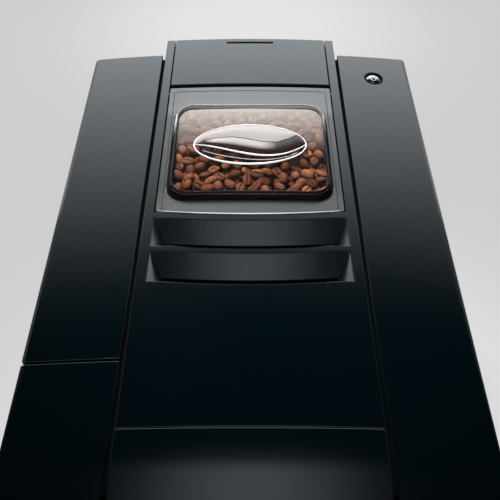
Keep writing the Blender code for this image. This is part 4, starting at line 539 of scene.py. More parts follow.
# Painted light down the lid, times painted shade across it
along, spot, split = along_top(tree, LID_PAINTED_LIGHT[0][0], LID_PAINTED_LIGHT[-1][0])
painted_light_bands = tone_ramp(tree, LID_PAINTED_LIGHT, LID_COOLNESS)
painted_light_bands.color_ramp.interpolation = "EASE"
across = new_node(tree, "MapRange", From_Min=LID_SIDE_SHADE[0][0], From_Max=LID_SIDE_SHADE[-1][0])
sides = tone_ramp(tree, LID_SIDE_SHADE)
tint = new_node(tree, "Mix")
tint.data_type = "RGBA"
tint.blend_type = "MULTIPLY"
tint.inputs["Factor"].default_value = 1.0
link(along, "Result", painted_light_bands, "Fac")
link(split, "X", across, "Value")
link(across, "Result", sides, "Fac")
link(painted_light_bands, "Color", tint, "A")
link(sides, "Color", tint, "B")
link(tint, "Result", tree.nodes["Principled BSDF"], "Base Color")
moulded_shell("hopper_lid", "lid", lid_grey, edge=0.0007, segments=3)


# Lip and rim of the lid. Its front edge ends in a thin bead of pale polished metal, thickest in the
# middle, with real gloss and a painted highlight in its pale colour. A fine dark line of painted
# shade, where the frame's flat strip begins, runs round the back and both sides.


def ring_faces(rows, count, closed):
    """Faces that join rings of points in order; an open row of rings gets two end faces."""
    faces = []
    for i in range(rows if closed else rows - 1):
        m = (i + 1) % rows
        for j in range(count):
            k = (j + 1) % count
            faces.append((i * count + j, i * count + k, m * count + k, m * count + j))
    if not closed:
        faces.append(tuple(reversed(range(count))))
        faces.append(tuple((rows - 1) * count + j for j in range(count)))
    return faces


def tube(name, line, radii, material, body, sides=10, closed=False):
    """A round rod along a line of points, with a radius at each point."""
    points = []
    count = len(line)
    for i in range(count):
        before = line[(i - 1) % count] if closed or i else line[i]
        after = line[(i + 1) % count] if closed or i < count - 1 else line[i]
        ahead = (after - before).normalized()
        side = ahead.cross(Vector((0, 0, 1))).normalized()
        up = side.cross(ahead)
        for j in range(sides):
            a = 2 * math.pi * j / sides
            points.append(line[i] + radii[i] * (math.cos(a) * side + math.sin(a) * up))
    return new_piece(name, points, ring_faces(count, sides, closed), [material], body)


LIP_BEAD = 0.0006
LIP_ENDS = 0.55  # share of the bead's radius at its two ends
LIP_SIDE_GAP = 0.0012
LIP_BACK = 0.0001
LIP_SINK = 0.00035
RIM_FRONT_V = LID_FRONT_V - 0.001
# Partly a painted highlight: the bead's pale metallic colour
lip_gloss_and_highlight = moulded_plastic("lip_polished", (0.62, 0.64, 0.66), 0.28, grain_depth=0.02)
lip_gloss_and_highlight.node_tree.nodes["Principled BSDF"].inputs["Metallic"].default_value = 0.7
line = []
radii = []
for n in range(33):
    t = n / 16 - 1
    x = t * (LID_HALF - LIP_SIDE_GAP)
    line.append(on_top(x, LID_FRONT_V + LIP_BULGE * (1 - (x / LID_HALF) ** 2) - LIP_BACK, -LIP_SINK))
    radii.append(LIP_BEAD * (LIP_ENDS + (1 - LIP_ENDS) * math.cos(t * math.pi / 2)))
tube("lid_lip_bead", line, radii, lip_gloss_and_highlight, "lid", sides=8)
RIM_STRIP = 0.0042
RIM_LINE = 0.00024
RIM_BACK_V = 0.0525
rim_shade = moulded_plastic("lid_rim_shade", (0.006, 0.007, 0.007), 0.4, grain_depth=0.02, gloss=0.1)
rim_half = LID_HALF - RIM_STRIP
rim_length = RIM_FRONT_V - RIM_BACK_V
line = [on_top(-rim_half, RIM_FRONT_V - rim_length * n / 24) for n in range(25)]
line += [on_top(rim_half * (n / 12 - 1), RIM_BACK_V) for n in range(1, 25)]
line += [on_top(rim_half, RIM_BACK_V + rim_length * n / 24) for n in range(1, 25)]
tube("lid_rim_line", line, [RIM_LINE] * len(line), rim_shade, "lid", sides=6)


# Window in the lid. A clear moulded pad stands seven millimetres above the frame: a flat plate on
# a wall that leans in, with a flange under the frame. Its wall and its edges, drawn as thin lines,
# have painted light at the back, where light falls in, and painted shade in front, and two pale
# lines in front are painted highlights.

WINDOW_HALF = 0.0613
WINDOW_BACK_V = 0.0778
WINDOW_FRONT_V = 0.176
WINDOW_RAISE = 0.007
WINDOW_CORNER = 0.013
SIDE_LEAN = 0.0034  # how far the side walls lean in from foot to top
FRONT_LEAN = 0.0033
PLATE_UNDERSIDE = 0.0046
PLATE_EDGE = 0.0003
CORNER_STEPS = 8


def window_ring(inset, w):
    """The (x, v) places of the window's rounded outline at a height, drawn in by an inset."""
    lean = min(max(w / WINDOW_RAISE, 0.0), 1.0)
    half = WINDOW_HALF - SIDE_LEAN * lean - inset
    back = WINDOW_BACK_V + inset
    front = WINDOW_FRONT_V - FRONT_LEAN * lean - inset
    corner = max(WINDOW_CORNER - inset, 0.0001)
    ring = []
    for quarter, (sx, sv) in enumerate(((1, 1), (-1, 1), (-1, -1), (1, -1))):
        for n in range(CORNER_STEPS + 1):
            a = math.pi / 2 * (quarter + n / CORNER_STEPS)
            x = sx * (half - corner) + corner * math.cos(a)
            v = (front - corner if sv > 0 else back + corner) + corner * math.sin(a)
            ring.append((x, v))
    return ring


def rounded_pad(profile, closed):
    """Points and faces that join rings given as (inset, w) pairs; an open profile gets two caps."""
    points = []
    for inset, w in profile:
        points += [on_top(x, v, w) for x, v in window_ring(inset, w)]
    return points, ring_faces(len(profile), len(window_ring(0, 0)), closed)


def clear_plastic(name, colour, roughness, ior):
    """Clear plastic; lamps shine through it without a caustic."""
    material, tree, shader = new_material(name)
    set_inputs(shader, Base_Color=(*colour, 1), Roughness=roughness, IOR=ior, Transmission_Weight=1.0)
    ray = new_node(tree, "LightPath")
    through = new_node(tree, "BsdfTransparent", Color=(*colour, 1))
    pick = new_node(tree, "MixShader")
    link(ray, "Is Shadow Ray", pick, "Fac")
    link(shader, "BSDF", pick, 1)
    link(through, "BSDF", pick, 2)
    link(pick, "Shader", tree.nodes["Material Output"], "Surface")
    return material


FLAT_INSETS = (0.005, 0.012, 0.022, 0.034, 0.0445)
PLATE_GAP = 0.0003
plate_clear = clear_plastic("window_clear", (0.97, 0.96, 0.95), 0.03, 1.08)
fillet = []
for n in range(5):
    a = math.pi / 2 * n / 4
    fillet.append((PLATE_EDGE * (1 - math.cos(a)), WINDOW_RAISE - PLATE_EDGE * (1 - math.sin(a))))
profile = [(inset, PLATE_UNDERSIDE) for inset in reversed(FLAT_INSETS)] + [(PLATE_GAP, PLATE_UNDERSIDE)]
profile += fillet + [(inset, WINDOW_RAISE) for inset in FLAT_INSETS]
points, faces = rounded_pad(profile, closed=False)
plate = new_piece("lid_window_plate", points, faces, [plate_clear], "lid")
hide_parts("lid_window")


def darkening(material, pale, dark, start_v, end_v):
    """Fades a window material's colour from its rear to its front, between two places: painted light at
    the back, painted shade in front.
    """
    tree = material.node_tree
    along = along_top(tree, start_v, end_v)[0]
    along.interpolation_type = "SMOOTHSTEP"
    fade = new_node(tree, "Mix")
    fade.data_type = "RGBA"
    set_inputs(fade, A=(*pale, 1), B=(*dark, 1))
    link(along, "Result", fade, "Factor")
    link(fade, "Result", tree.nodes["Principled BSDF"], "Base Color")


WALL_THICKNESS = 0.0012
WALL_TOP = PLATE_UNDERSIDE - 0.0001
FLANGE_REACH = 0.0016
FLANGE_TOP = -0.0043
FLANGE_UNDERSIDE = -0.0058
WALL_INSET = 0.0002
FADE_V = (0.088, 0.112)
FRONT_CLARITY = 0.82
profile = [
    (WALL_INSET, 0.0), (WALL_INSET, WALL_TOP), (WALL_THICKNESS, WALL_TOP), (WALL_THICKNESS, 0.0),
    (WALL_THICKNESS, FLANGE_UNDERSIDE), (-FLANGE_REACH, FLANGE_UNDERSIDE), (-FLANGE_REACH, FLANGE_TOP),
    (WALL_INSET, FLANGE_TOP),
]
points, faces = rounded_pad(profile, closed=True)


def smoke(name, colour, roughness, gloss):
    """Window plastic that is seen edge-on, so it looks solid; its dark colour is painted shade, and it
    has no grain.
    """
    return moulded_plastic(name, colour, roughness, grain_depth=0.0, gloss=gloss)


# Painted light and shade on the wall: pale at the back, dark in front
side_wall_light_shade = smoke("window_side_painted_light_shade", (0.004, 0.003, 0.003), 0.35, 0.03)
darkening(side_wall_light_shade, (0.240, 0.228, 0.218), (0.0025, 0.0025, 0.0025), *FADE_V)
front_wall_shade = smoke("window_front_painted_shade", (0.0085, 0.0030, 0.0025), 0.3, 0.04)
front_wall_shade.node_tree.nodes["Principled BSDF"].inputs["Alpha"].default_value = FRONT_CLARITY
window_wall_materials = [side_wall_light_shade, front_wall_shade]
wall = new_piece("lid_window_wall", points, faces, window_wall_materials, "lid", smooth=False)
ring_count = len(window_ring(0, 0))
front_start = CORNER_STEPS // 2
front_end = CORNER_STEPS * 3 // 2 + 1
for n, face in enumerate(wall.data.polygons):
    face.material_index = 1 if front_start <= n % ring_count < front_end else 0
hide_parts("lid_window")


LINE_STEP = 0.006


def window_line(name, inset, w, radius, material, first_v=0.0):
    """A thin moulded line that follows the window's outline in front of a place."""
    line = window_ring(inset, w)
    back = CORNER_STEPS * 3 + 3
    line = line[back:] + line[:back]
    full = []
    for (x1, v1), (x2, v2) in zip(line, line[1:]):
        steps = max(1, round(math.hypot(x2 - x1, v2 - v1) / LINE_STEP))
        full += [(x1 + (x2 - x1) * n / steps, v1 + (v2 - v1) * n / steps) for n in range(steps)]
    full = [on_top(x, v, w) for x, v in full if v >= first_v]
    whole = first_v == 0.0
    piece = tube(name, full, [radius] * len(full), material, "lid", sides=8, closed=whole)
    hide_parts("lid_window")


BEND_W = WINDOW_RAISE - 0.0017  # where the wall bends into the plate
# Each line has its inset, height and radius, and some show only in front of a place
# Painted light and shade on the lines: pale at the back, dark in front
edge_line_light_shade = smoke("window_edge_painted_light_shade", (0.002, 0.002, 0.002), 0.3, 0.2)
darkening(edge_line_light_shade, (0.080, 0.078, 0.075), (0.0015, 0.0015, 0.0015), *FADE_V)
window_line("lid_window_edge", 0.0002, WINDOW_RAISE - 0.0006, 0.00055, edge_line_light_shade)
lower_line_light_shade = smoke("window_lower_painted_light_shade", (0.002, 0.002, 0.002), 0.4, 0.1)
darkening(lower_line_light_shade, (0.62, 0.60, 0.58), (0.0015, 0.0015, 0.0015), *FADE_V)
window_line("lid_window_edge_lower", 0.0002, BEND_W, 0.00065, lower_line_light_shade)
foot_line_shade = smoke("window_foot_painted_shade", (0.0015, 0.0015, 0.0015), 0.5, 0.1)
window_line("lid_window_foot", 0.0001, 0.0003, 0.00045, foot_line_shade, first_v=0.13)
# Painted highlights: the two pale glint lines in front
glint = smoke("window_glint", (0.055, 0.042, 0.038), 0.3, 0.5)
window_line("lid_window_glint", -0.0004, BEND_W, 0.00022, glint, first_v=0.166)
foot_glint = smoke("window_foot_glint", (0.085, 0.080, 0.077), 0.3, 0.5)
window_line("lid_window_foot_glint", -0.0006, 0.0002, 0.0002, foot_glint, first_v=0.158)


# Painted reflection under the window. A pale sheet under the plate is painted with the reflection
# of the bright light behind, strongest at the back, and it fades out before the middle.

# Painted reflection: how much of the sheet shows at each place down the window
PAINTED_REFLECTION_V = ((0.0782, 0.80), (0.0856, 0.50), (0.094, 0.36), (0.1045, 0.24), (0.116, 0.12), (0.130, 0.0))
REFLECTION_SHEET_UNDER = 0.0041
PAINTED_REFLECTION_COLOUR = (0.262, 0.238, 0.222, 1)
REFLECTION_SHEET_CORNER = WINDOW_CORNER - WALL_THICKNESS
REFLECTION_SHEET_GAP = 0.0002
REFLECTION_SHEET_ROWS = 24
REFLECTION_SHEET_COLUMNS = 16
REFLECTION_SHEET_CROWDING = 1.5  # rows lie closer together at the back, round the corners
reflection_sheet_half = WINDOW_HALF - SIDE_LEAN * REFLECTION_SHEET_UNDER / WINDOW_RAISE - WALL_THICKNESS - REFLECTION_SHEET_GAP
reflection_sheet_back = PAINTED_REFLECTION_V[0][0] + WALL_THICKNESS
points = []
for i in range(REFLECTION_SHEET_ROWS + 1):
    v = reflection_sheet_back + (PAINTED_REFLECTION_V[-1][0] - reflection_sheet_back) * (i / REFLECTION_SHEET_ROWS) ** REFLECTION_SHEET_CROWDING
    near = max(0.0, REFLECTION_SHEET_CORNER - (v - reflection_sheet_back))
    half = reflection_sheet_half - (REFLECTION_SHEET_CORNER - math.sqrt(REFLECTION_SHEET_CORNER ** 2 - near ** 2))
    points += [on_top(half * (2 * j / REFLECTION_SHEET_COLUMNS - 1), v, REFLECTION_SHEET_UNDER) for j in range(REFLECTION_SHEET_COLUMNS + 1)]
faces = []
row = REFLECTION_SHEET_COLUMNS + 1
for i in range(REFLECTION_SHEET_ROWS):
    for j in range(REFLECTION_SHEET_COLUMNS):
        a = i * row + j
        faces.append((a, a + row, a + row + 1, a + 1))
reflection_paint, tree, shader = new_material("window_painted_reflection")
set_inputs(shader, Base_Color=PAINTED_REFLECTION_COLOUR, Specular_IOR_Level=0.0)
along, spot, split = along_top(tree, PAINTED_REFLECTION_V[0][0], PAINTED_REFLECTION_V[-1][0])
reflection_fade = tone_ramp(tree, PAINTED_REFLECTION_V)
gloss_specks = new_node(tree, "TexNoise", Scale=900)
uneven = new_node(tree, "MapRange", To_Min=0.35, To_Max=0.75)
link(along, "Result", reflection_fade, "Fac")
link(reflection_fade, "Color", shader, "Alpha")
link(spot, "Object", gloss_specks, "Vector")
link(gloss_specks, "Fac", uneven, "Value")
link(uneven, "Result", shader, "Roughness")
new_piece("lid_window_reflection_sheet", points, faces, [reflection_paint], "lid")


# Coffee beans. Roasted beans, flat with a crease on one side and domed on the other, lie as they
# fall in layers up to the underside of the window. Those at the back are painted paler, as
# painted light.

BEAN_LENGTH = 0.0104
BEAN_WIDTH = 0.0076
BEAN_HEIGHT = 0.0052
BEAN_RINGS = 9
BEAN_ANGLES = (-90, -82, -72, -50, -20, 15, 52, 90, 128, 165, 200, 230, 252, 262)
BEAN_LAYERS = (
    # w of the layer's middle, half width, back v, front v, spacing
    (-0.0175, 0.0595, 0.083, 0.173, 0.0074),
    (-0.0115, 0.0580, 0.083, 0.168, 0.0072),
    (-0.0055, 0.0565, 0.082, 0.1655, 0.0072),
    (-0.0003, 0.0560, 0.0815, 0.1650, 0.0073),
)
ROAST_DARK = (0.040, 0.0118, 0.0050, 1)
ROAST_MID = (0.082, 0.0265, 0.0115, 1)
ROAST_LIGHT = (0.135, 0.047, 0.0175, 1)
# Painted shade: the dark colour in the beans' creases and in the gaps under them
CREASE_SHADE_COLOUR = (0.010, 0.004, 0.003)
# Painted light on the beans at the back
REAR_BEAN_LIGHT_COLOUR = (0.16, 0.115, 0.092, 1)
REAR_BEAN_LIGHT_V = (0.080, 0.122)
REAR_BEAN_LIGHT_SHARE = 0.45
GIRTH_ROUNDNESS = 0.85
DOME_SHARE = 0.62
FLAT_SHARE = 0.30
CREASE_DEEP = 0.20
CREASE_EDGE = 0.05
CREASE_SWAY = 0.0005
DROPS = 4200  # tries for each layer
CREASE_UP = 0.42  # share of the beans that lie with their crease up
ROLL = 0.28
PITCH = 0.22
SIZES = (0.88, 1.08)
UNEVEN_W = 0.0009


def bean_points():
    """Points of one bean about its middle, its crease side down, and the faces between them."""
    points = [(-BEAN_LENGTH / 2, 0, 0)]
    for i in range(1, BEAN_RINGS - 1):
        along = -math.cos(math.pi * i / (BEAN_RINGS - 1))
        girth = math.sqrt(max(0.0, 1 - along * along)) ** GIRTH_ROUNDNESS
        for angle in BEAN_ANGLES:
            a = math.radians(angle)
            y = math.cos(a) * girth * BEAN_WIDTH / 2
            z = math.sin(a) * girth * BEAN_HEIGHT * (DOME_SHARE if 0 < angle < 180 else FLAT_SHARE)
            if angle in (-90, -82, 262):
                z += girth * BEAN_HEIGHT * (CREASE_DEEP if angle == -90 else CREASE_EDGE)
                y += CREASE_SWAY * math.sin(along * math.pi)
            points.append((along * BEAN_LENGTH / 2, y, z))
    points.append((BEAN_LENGTH / 2, 0, 0))
    count = len(BEAN_ANGLES)
    faces = []
    for j in range(count):
        k = (j + 1) % count
        faces.append((0, 1 + j, 1 + k))
        last = 1 + (BEAN_RINGS - 3) * count
        faces.append((len(points) - 1, last + k, last + j))
        for i in range(BEAN_RINGS - 3):
            a = 1 + i * count
            faces.append((a + j, a + count + j, a + count + k, a + k))
    creased = [n for n, face in enumerate(faces) if len(face) == 4 and 1 in [f % count for f in face]]
    return points, faces, creased


rng = random.Random(11)
shape, shape_faces, crease_faces = bean_points()
bean_vertices = []
bean_faces = []
bean_crease = []
for layer_w, half_x, back_v, front_v, spacing in BEAN_LAYERS:
    placed = []
    for _ in range(DROPS):
        x = rng.uniform(-half_x, half_x)
        v = rng.uniform(back_v, front_v)
        if all((x - a) ** 2 + (v - b) ** 2 > spacing ** 2 for a, b in placed):
            placed.append((x, v))
    for x, v in placed:
        turn = Matrix.Rotation(rng.uniform(0, 2 * math.pi), 4, "Z")
        flip = Matrix.Rotation(math.pi if rng.random() < CREASE_UP else 0.0, 4, "X")
        lean = Matrix.Rotation(rng.gauss(0, ROLL), 4, "X") @ Matrix.Rotation(rng.gauss(0, PITCH), 4, "Y")
        size = Matrix.Scale(rng.uniform(*SIZES), 4)
        spot = Matrix.Translation(on_top(x, v, layer_w + rng.uniform(-UNEVEN_W, UNEVEN_W)))
        move = spot @ Matrix.Rotation(TOP_SLOPE, 4, "X") @ turn @ lean @ flip @ size
        first = len(bean_vertices)
        bean_crease += [len(bean_faces) + n for n in crease_faces]
        bean_vertices += [move @ Vector(p) for p in shape]
        bean_faces += [tuple(first + n for n in face) for face in shape_faces]
roast, tree, shader = new_material("roasted_bean")
shader.inputs["IOR"].default_value = 1.45
each = new_node(tree, "NewGeometry")
tone = new_node(tree, "ValToRGB")
tone.color_ramp.elements[0].color = ROAST_DARK
tone.color_ramp.elements[1].color = ROAST_LIGHT
middle = tone.color_ramp.elements.new(0.55)
middle.color = ROAST_MID
along, spot, split = along_top(tree, *REAR_BEAN_LIGHT_V)
skin = new_node(tree, "TexNoise", Scale=420, Detail=3)
mottle = new_node(tree, "Mix")
mottle.data_type = "RGBA"
mottle.blend_type = "OVERLAY"
mottle.inputs["Factor"].default_value = 0.35
sheen = new_node(tree, "MapRange", To_Min=0.34, To_Max=0.52)
bump = new_node(tree, "Bump", Strength=0.25, Distance=0.0003)
link(each, "Random Per Island", tone, "Fac")
link(tone, "Color", mottle, "A")
link(spot, "Object", skin, "Vector")
link(skin, "Color", mottle, "B")
along.interpolation_type = "SMOOTHSTEP"
set_inputs(along, To_Min=REAR_BEAN_LIGHT_SHARE, To_Max=0.0)
# Painted light: beans at the back are mixed towards a pale colour
rear_bean_light = new_node(tree, "Mix")
rear_bean_light.data_type = "RGBA"
rear_bean_light.inputs["B"].default_value = REAR_BEAN_LIGHT_COLOUR
link(along, "Result", rear_bean_light, "Factor")
link(mottle, "Result", rear_bean_light, "A")
link(rear_bean_light, "Result", shader, "Base Color")
link(skin, "Fac", sheen, "Value")
link(sheen, "Result", shader, "Roughness")
link(skin, "Fac", bump, "Height")
link(bump, "Normal", shader, "Normal")
# Painted shade in the beans' creases
crease_shade_material = moulded_plastic("bean_crease", CREASE_SHADE_COLOUR, 0.6)
beans = new_piece("coffee_beans", bean_vertices, bean_faces, [roast, crease_shade_material], "chassis")
for n in bean_crease:
    beans.data.polygons[n].material_index = 1
# Painted shade: the bean charge under the beans is drawn near black where it shows between them
nodes["bean_charge"].data.materials.clear()
nodes["bean_charge"].data.materials.append(crease_shade_material)


# Bean relief on the window. A clear moulded lens in the form of a coffee bean is set on the plate.
# Its colour is painted reflection over its rear lobe and behind the middle of the fold, and painted
# shade along the rest behind the fold. Its rim, the fold and a line in front of the fold are pale
# metal rods, painted highlights, and its upper crease is a dark rod, painted shade.

RELIEF_V = 0.1252
RELIEF_HALF_LENGTH = 0.0428
RELIEF_HALF_WIDTH = 0.0213
RELIEF_FLOOR = WINDOW_RAISE + 0.0001
LOBE_RISE = 0.0008
FOLD_SINK = 0.52
FOLD_LEAN = 0.8
LENS_LIFT = 0.0003
FULL_LOBE = 0.006  # a lobe narrower than this rises less
CREASE_BEND = 0.4  # how far the crease is rounded between its points
# Upper crease: x and v from the relief's middle
CREASE_LINE = (
    (-0.0428, 0.0), (-0.0390, -0.0020), (-0.0350, -0.0052), (-0.0223, -0.0074), (-0.0135, -0.0080),
    (-0.0047, -0.0065), (0.0031, -0.0045), (0.0109, -0.0026), (0.0206, -0.0024), (0.0285, -0.0057),
    (0.0370, -0.0107),
)


def rim_v(x, side):
    return side * RELIEF_HALF_WIDTH * math.sqrt(max(0.0, 1 - (x / RELIEF_HALF_LENGTH) ** 2))


def crease_v(x):
    for (x1, v1), (x2, v2) in zip(CREASE_LINE, CREASE_LINE[1:]):
        if x <= x2:
            t = (x - x1) / (x2 - x1)
            t = t * t * (3 - 2 * t) * CREASE_BEND + t * (1 - CREASE_BEND)
            return max(v1 + (v2 - v1) * t, rim_v(x, -1))
    return rim_v(x, -1)


def fold_v(x):
    t = x / RELIEF_HALF_LENGTH
    return RELIEF_HALF_WIDTH * FOLD_SINK * (1 - t * t) * (1 + FOLD_LEAN * t)


LENS_COLUMNS = 72
LENS_ROWS = 6
ZONE_EDGE = 0.001  # keeps a lobe's points off its neighbours' zones
points = []
shares = []
for i in range(LENS_COLUMNS + 1):
    x = -RELIEF_HALF_LENGTH * math.cos(math.pi * i / LENS_COLUMNS)
    edges = (rim_v(x, -1), crease_v(x), fold_v(x), rim_v(x, 1))
    for band in range(3):
        for j in range(LENS_ROWS + 1):
            t = j / LENS_ROWS
            v = edges[band] + (edges[band + 1] - edges[band]) * t
            width = abs(edges[band + 1] - edges[band])
            rise = LOBE_RISE * math.sin(math.pi * t) * min(1.0, width / FULL_LOBE)
            points.append(on_top(x, RELIEF_V + v, RELIEF_FLOOR + LENS_LIFT + rise))
            shares.append((i / LENS_COLUMNS, (band + ZONE_EDGE + (1 - 2 * ZONE_EDGE) * t) / 3))
faces = []
column = 3 * (LENS_ROWS + 1)
for i in range(LENS_COLUMNS):
    for band in range(3):
        for j in range(LENS_ROWS):
            a = i * column + band * (LENS_ROWS + 1) + j
            faces.append((a, a + 1, a + 1 + column, a + column))
lens_light_shade, tree, shader = new_material("relief_lens")
set_inputs(shader, Roughness=0.12, Specular_IOR_Level=0.15)
place = new_node(tree, "UVMap")
place.uv_map = "lens"
split = new_node(tree, "SeparateXYZ")
zones = new_node(tree, "ValToRGB")
zones.color_ramp.elements[0].color = (1, 0, 0, 1)
zones.color_ramp.elements[1].color = (0, 0, 0, 1)
# Across the lens, red: rear lobe, painted reflection; green: behind the fold, painted reflection
# in its middle stretch and painted shade beyond; blue: dark fold, painted shade
ZONES = (
    (0.325, (1, 0, 0)), (0.334, (0, 1, 0)), (0.45, (0, 1, 0)), (0.54, (0, 0, 1)),
    (0.655, (0, 0, 1)), (0.668, (0, 0, 0)),
)
for stop_place, colour in ZONES:
    zones.color_ramp.elements.new(stop_place).color = (*colour, 1)
channels = new_node(tree, "SeparateColor")
# Where along the lens the fold's rear side gets the painted reflection
REFLECTION_STRETCH = ((0.0, 0.0), (0.20, 0.0), (0.27, 1.0), (0.56, 1.0), (0.66, 0.0), (1.0, 0.0))
stretch = tone_ramp(tree, REFLECTION_STRETCH)
REFLECTION_COVER = 0.72
SHADE_COVER = 0.86
CLEAR_COVER = 0.04
# Painted shade and painted reflection: the lens's dark and pale colours
RELIEF_PAINTED_SHADE = (0.009, 0.005, 0.004, 1)
RELIEF_PAINTED_REFLECTION = (0.200, 0.187, 0.184, 1)


def sum_node(operation, first, second, third=None):
    """A sum in the lens's material, of numbers and other nodes' outputs."""
    node = new_node(tree, "Math")
    node.operation = operation
    for socket, value in zip(node.inputs, (first, second, third)):
        if isinstance(value, (int, float)):
            socket.default_value = value
        elif value is not None:
            tree.links.new(value, socket)
    return node.outputs["Value"]


link(place, "UV", split, "Vector")
link(split, "Y", zones, "Fac")
link(split, "X", stretch, "Fac")
link(zones, "Color", channels, "Color")
red, green, blue = channels.outputs
reflection_here = stretch.outputs["Color"]
pale = sum_node("MULTIPLY_ADD", green, reflection_here, red)
dark = sum_node("MULTIPLY_ADD", green, sum_node("SUBTRACT", 1.0, reflection_here), blue)
cover = sum_node("MULTIPLY_ADD", dark, SHADE_COVER, sum_node("MULTIPLY", pale, REFLECTION_COVER))
cover = sum_node("ADD", cover, CLEAR_COVER)
tone = new_node(tree, "Mix")
tone.data_type = "RGBA"
set_inputs(tone, A=RELIEF_PAINTED_SHADE, B=RELIEF_PAINTED_REFLECTION)
tree.links.new(pale, tone.inputs["Factor"])
link(tone, "Result", shader, "Base Color")
tree.links.new(cover, shader.inputs["Alpha"])
lens = new_piece("bean_relief_lens", points, faces, [lens_light_shade], "lid")
uv = lens.data.uv_layers.new(name="lens")
for corner in lens.data.loops:
    uv.data[corner.index].uv = shares[corner.vertex_index]
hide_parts("bean_relief")

# Painted highlights: the pale metal rods of the rim, the fold and the line
relief_highlight = moulded_plastic("relief_painted_highlight", (0.93, 0.93, 0.93), 0.3, grain_depth=0.02)
relief_highlight.node_tree.nodes["Principled BSDF"].inputs["Metallic"].default_value = 0.8
# Painted shade: the dark rod of the upper crease
relief_crease_shade = moulded_plastic("relief_crease_painted_shade", (0.006, 0.004, 0.004), 0.4, gloss=0.1)
RIM_RADIUS = 0.00040  # at the rear; twice this in the middle of the front
RIM_W = RELIEF_FLOOR + 0.0005
FOLD_RADIUS = 0.00034
FOLD_SWELL = 0.00045
FOLD_W = RELIEF_FLOOR + 0.0006
CREASE_START = -0.0420
CREASE_HALF = 0.0394
CREASE_W = RELIEF_FLOOR + 0.00035
CREASE_RADIUS = 0.00026
LINE_HALF = 0.0355
LINE_SHARE = 0.52  # from the fold to the front of the rim
LINE_W = RELIEF_FLOOR + 0.0004
LINE_RADIUS = 0.00020


def relief_rod(name, line, radii, material, closed=False):
    """A rod that stands for part of the relief."""
    rod = tube("bean_relief_" + name, line, radii, material, "lid", closed=closed)
    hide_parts("bean_relief")


rim = []
rim_radii = []
for n in range(96):
    a = 2 * math.pi * n / 96
    x = RELIEF_HALF_LENGTH * math.cos(a)
    rim.append(on_top(x, RELIEF_V + RELIEF_HALF_WIDTH * math.sin(a), RIM_W))
    rim_radii.append(RIM_RADIUS + RIM_RADIUS * max(0.0, math.sin(a)))
relief_rod("rim", rim, rim_radii, relief_highlight, closed=True)
fold = []
fold_radii = []
crease = []
under = []
for n in range(49):
    t = n / 24 - 1
    x = t * (RELIEF_HALF_LENGTH - 0.0002)
    fold.append(on_top(x, RELIEF_V + fold_v(x), FOLD_W))
    fold_radii.append(FOLD_RADIUS + FOLD_SWELL * (1 - t * t))
    x = CREASE_START + (t + 1) * CREASE_HALF
    crease.append(on_top(x, RELIEF_V + crease_v(x), CREASE_W))
    x = t * LINE_HALF
    v = fold_v(x) + (rim_v(x, 1) - fold_v(x)) * LINE_SHARE
    under.append(on_top(x, RELIEF_V + v, LINE_W))
relief_rod("fold", fold, fold_radii, relief_highlight)
relief_rod("crease", crease, [CREASE_RADIUS] * 49, relief_crease_shade)
relief_rod("line", under, [LINE_RADIUS] * 49, relief_highlight)


# Power button. A domed chrome cap sits in a black well in the right side panel, on a stem that
# slides in its ring. A pale generic power symbol, a ring with a bar, is printed on it.

BUTTON_X = 0.10795
BUTTON_V = 0.0304
BUTTON_RADIUS = 0.0064
BUTTON_DOME = 0.0017
BUTTON_SINK = -0.0009
SYMBOL_RADIUS = 0.0026
SYMBOL_SINK = 0.0009  # towards the front of the cap
SYMBOL_SIDE = 0.0003
SYMBOL_W = 0.0001
SYMBOL_LINE = 0.00042
BAR_LINE = 0.00036
BAR = (0.0001, 0.0009, 0.0017, 0.0025)
RING_GAP = 38  # degrees to either side of the bar
STEM_RADIUS = 0.003
STEM_FOOT = -0.0075
CAP_UNDERSIDE = -0.0036
CAP_FOOT = -0.0034
button_frame = Matrix.Translation(on_top(BUTTON_X, BUTTON_V)) @ (
    Matrix.Rotation(BUTTON_X / CROWN_RADIUS, 4, "Y") @ Matrix.Rotation(TOP_SLOPE, 4, "X")
)
button_chrome = moulded_plastic("button_chrome", (0.215, 0.222, 0.230), 0.12, grain_depth=0.0)
button_chrome.node_tree.nodes["Principled BSDF"].inputs["Metallic"].default_value = 1.0
well_black = moulded_plastic("button_well_black", (0.003, 0.003, 0.003), 0.6, gloss=0.05)


def dome_height(r):
    return BUTTON_SINK + BUTTON_DOME * (1 - (r / BUTTON_RADIUS) ** 2)


def turned_cap(rings, sides=48):
    """A cap from (radius, height) rings, the first at its foot and the last at its middle."""
    points = []
    for r, h in rings[:-1]:
        for j in range(sides):
            a = 2 * math.pi * j / sides
            points.append(button_frame @ Vector((r * math.cos(a), r * math.sin(a), h)))
    points.append(button_frame @ Vector((0, 0, rings[-1][1])))
    faces = [tuple(reversed(range(sides)))]
    last = (len(rings) - 2) * sides
    for j in range(sides):
        k = (j + 1) % sides
        for i in range(len(rings) - 2):
            faces.append((i * sides + j, i * sides + k, (i + 1) * sides + k, (i + 1) * sides + j))
        faces.append((last + j, last + k, len(points) - 1))
    return points, faces


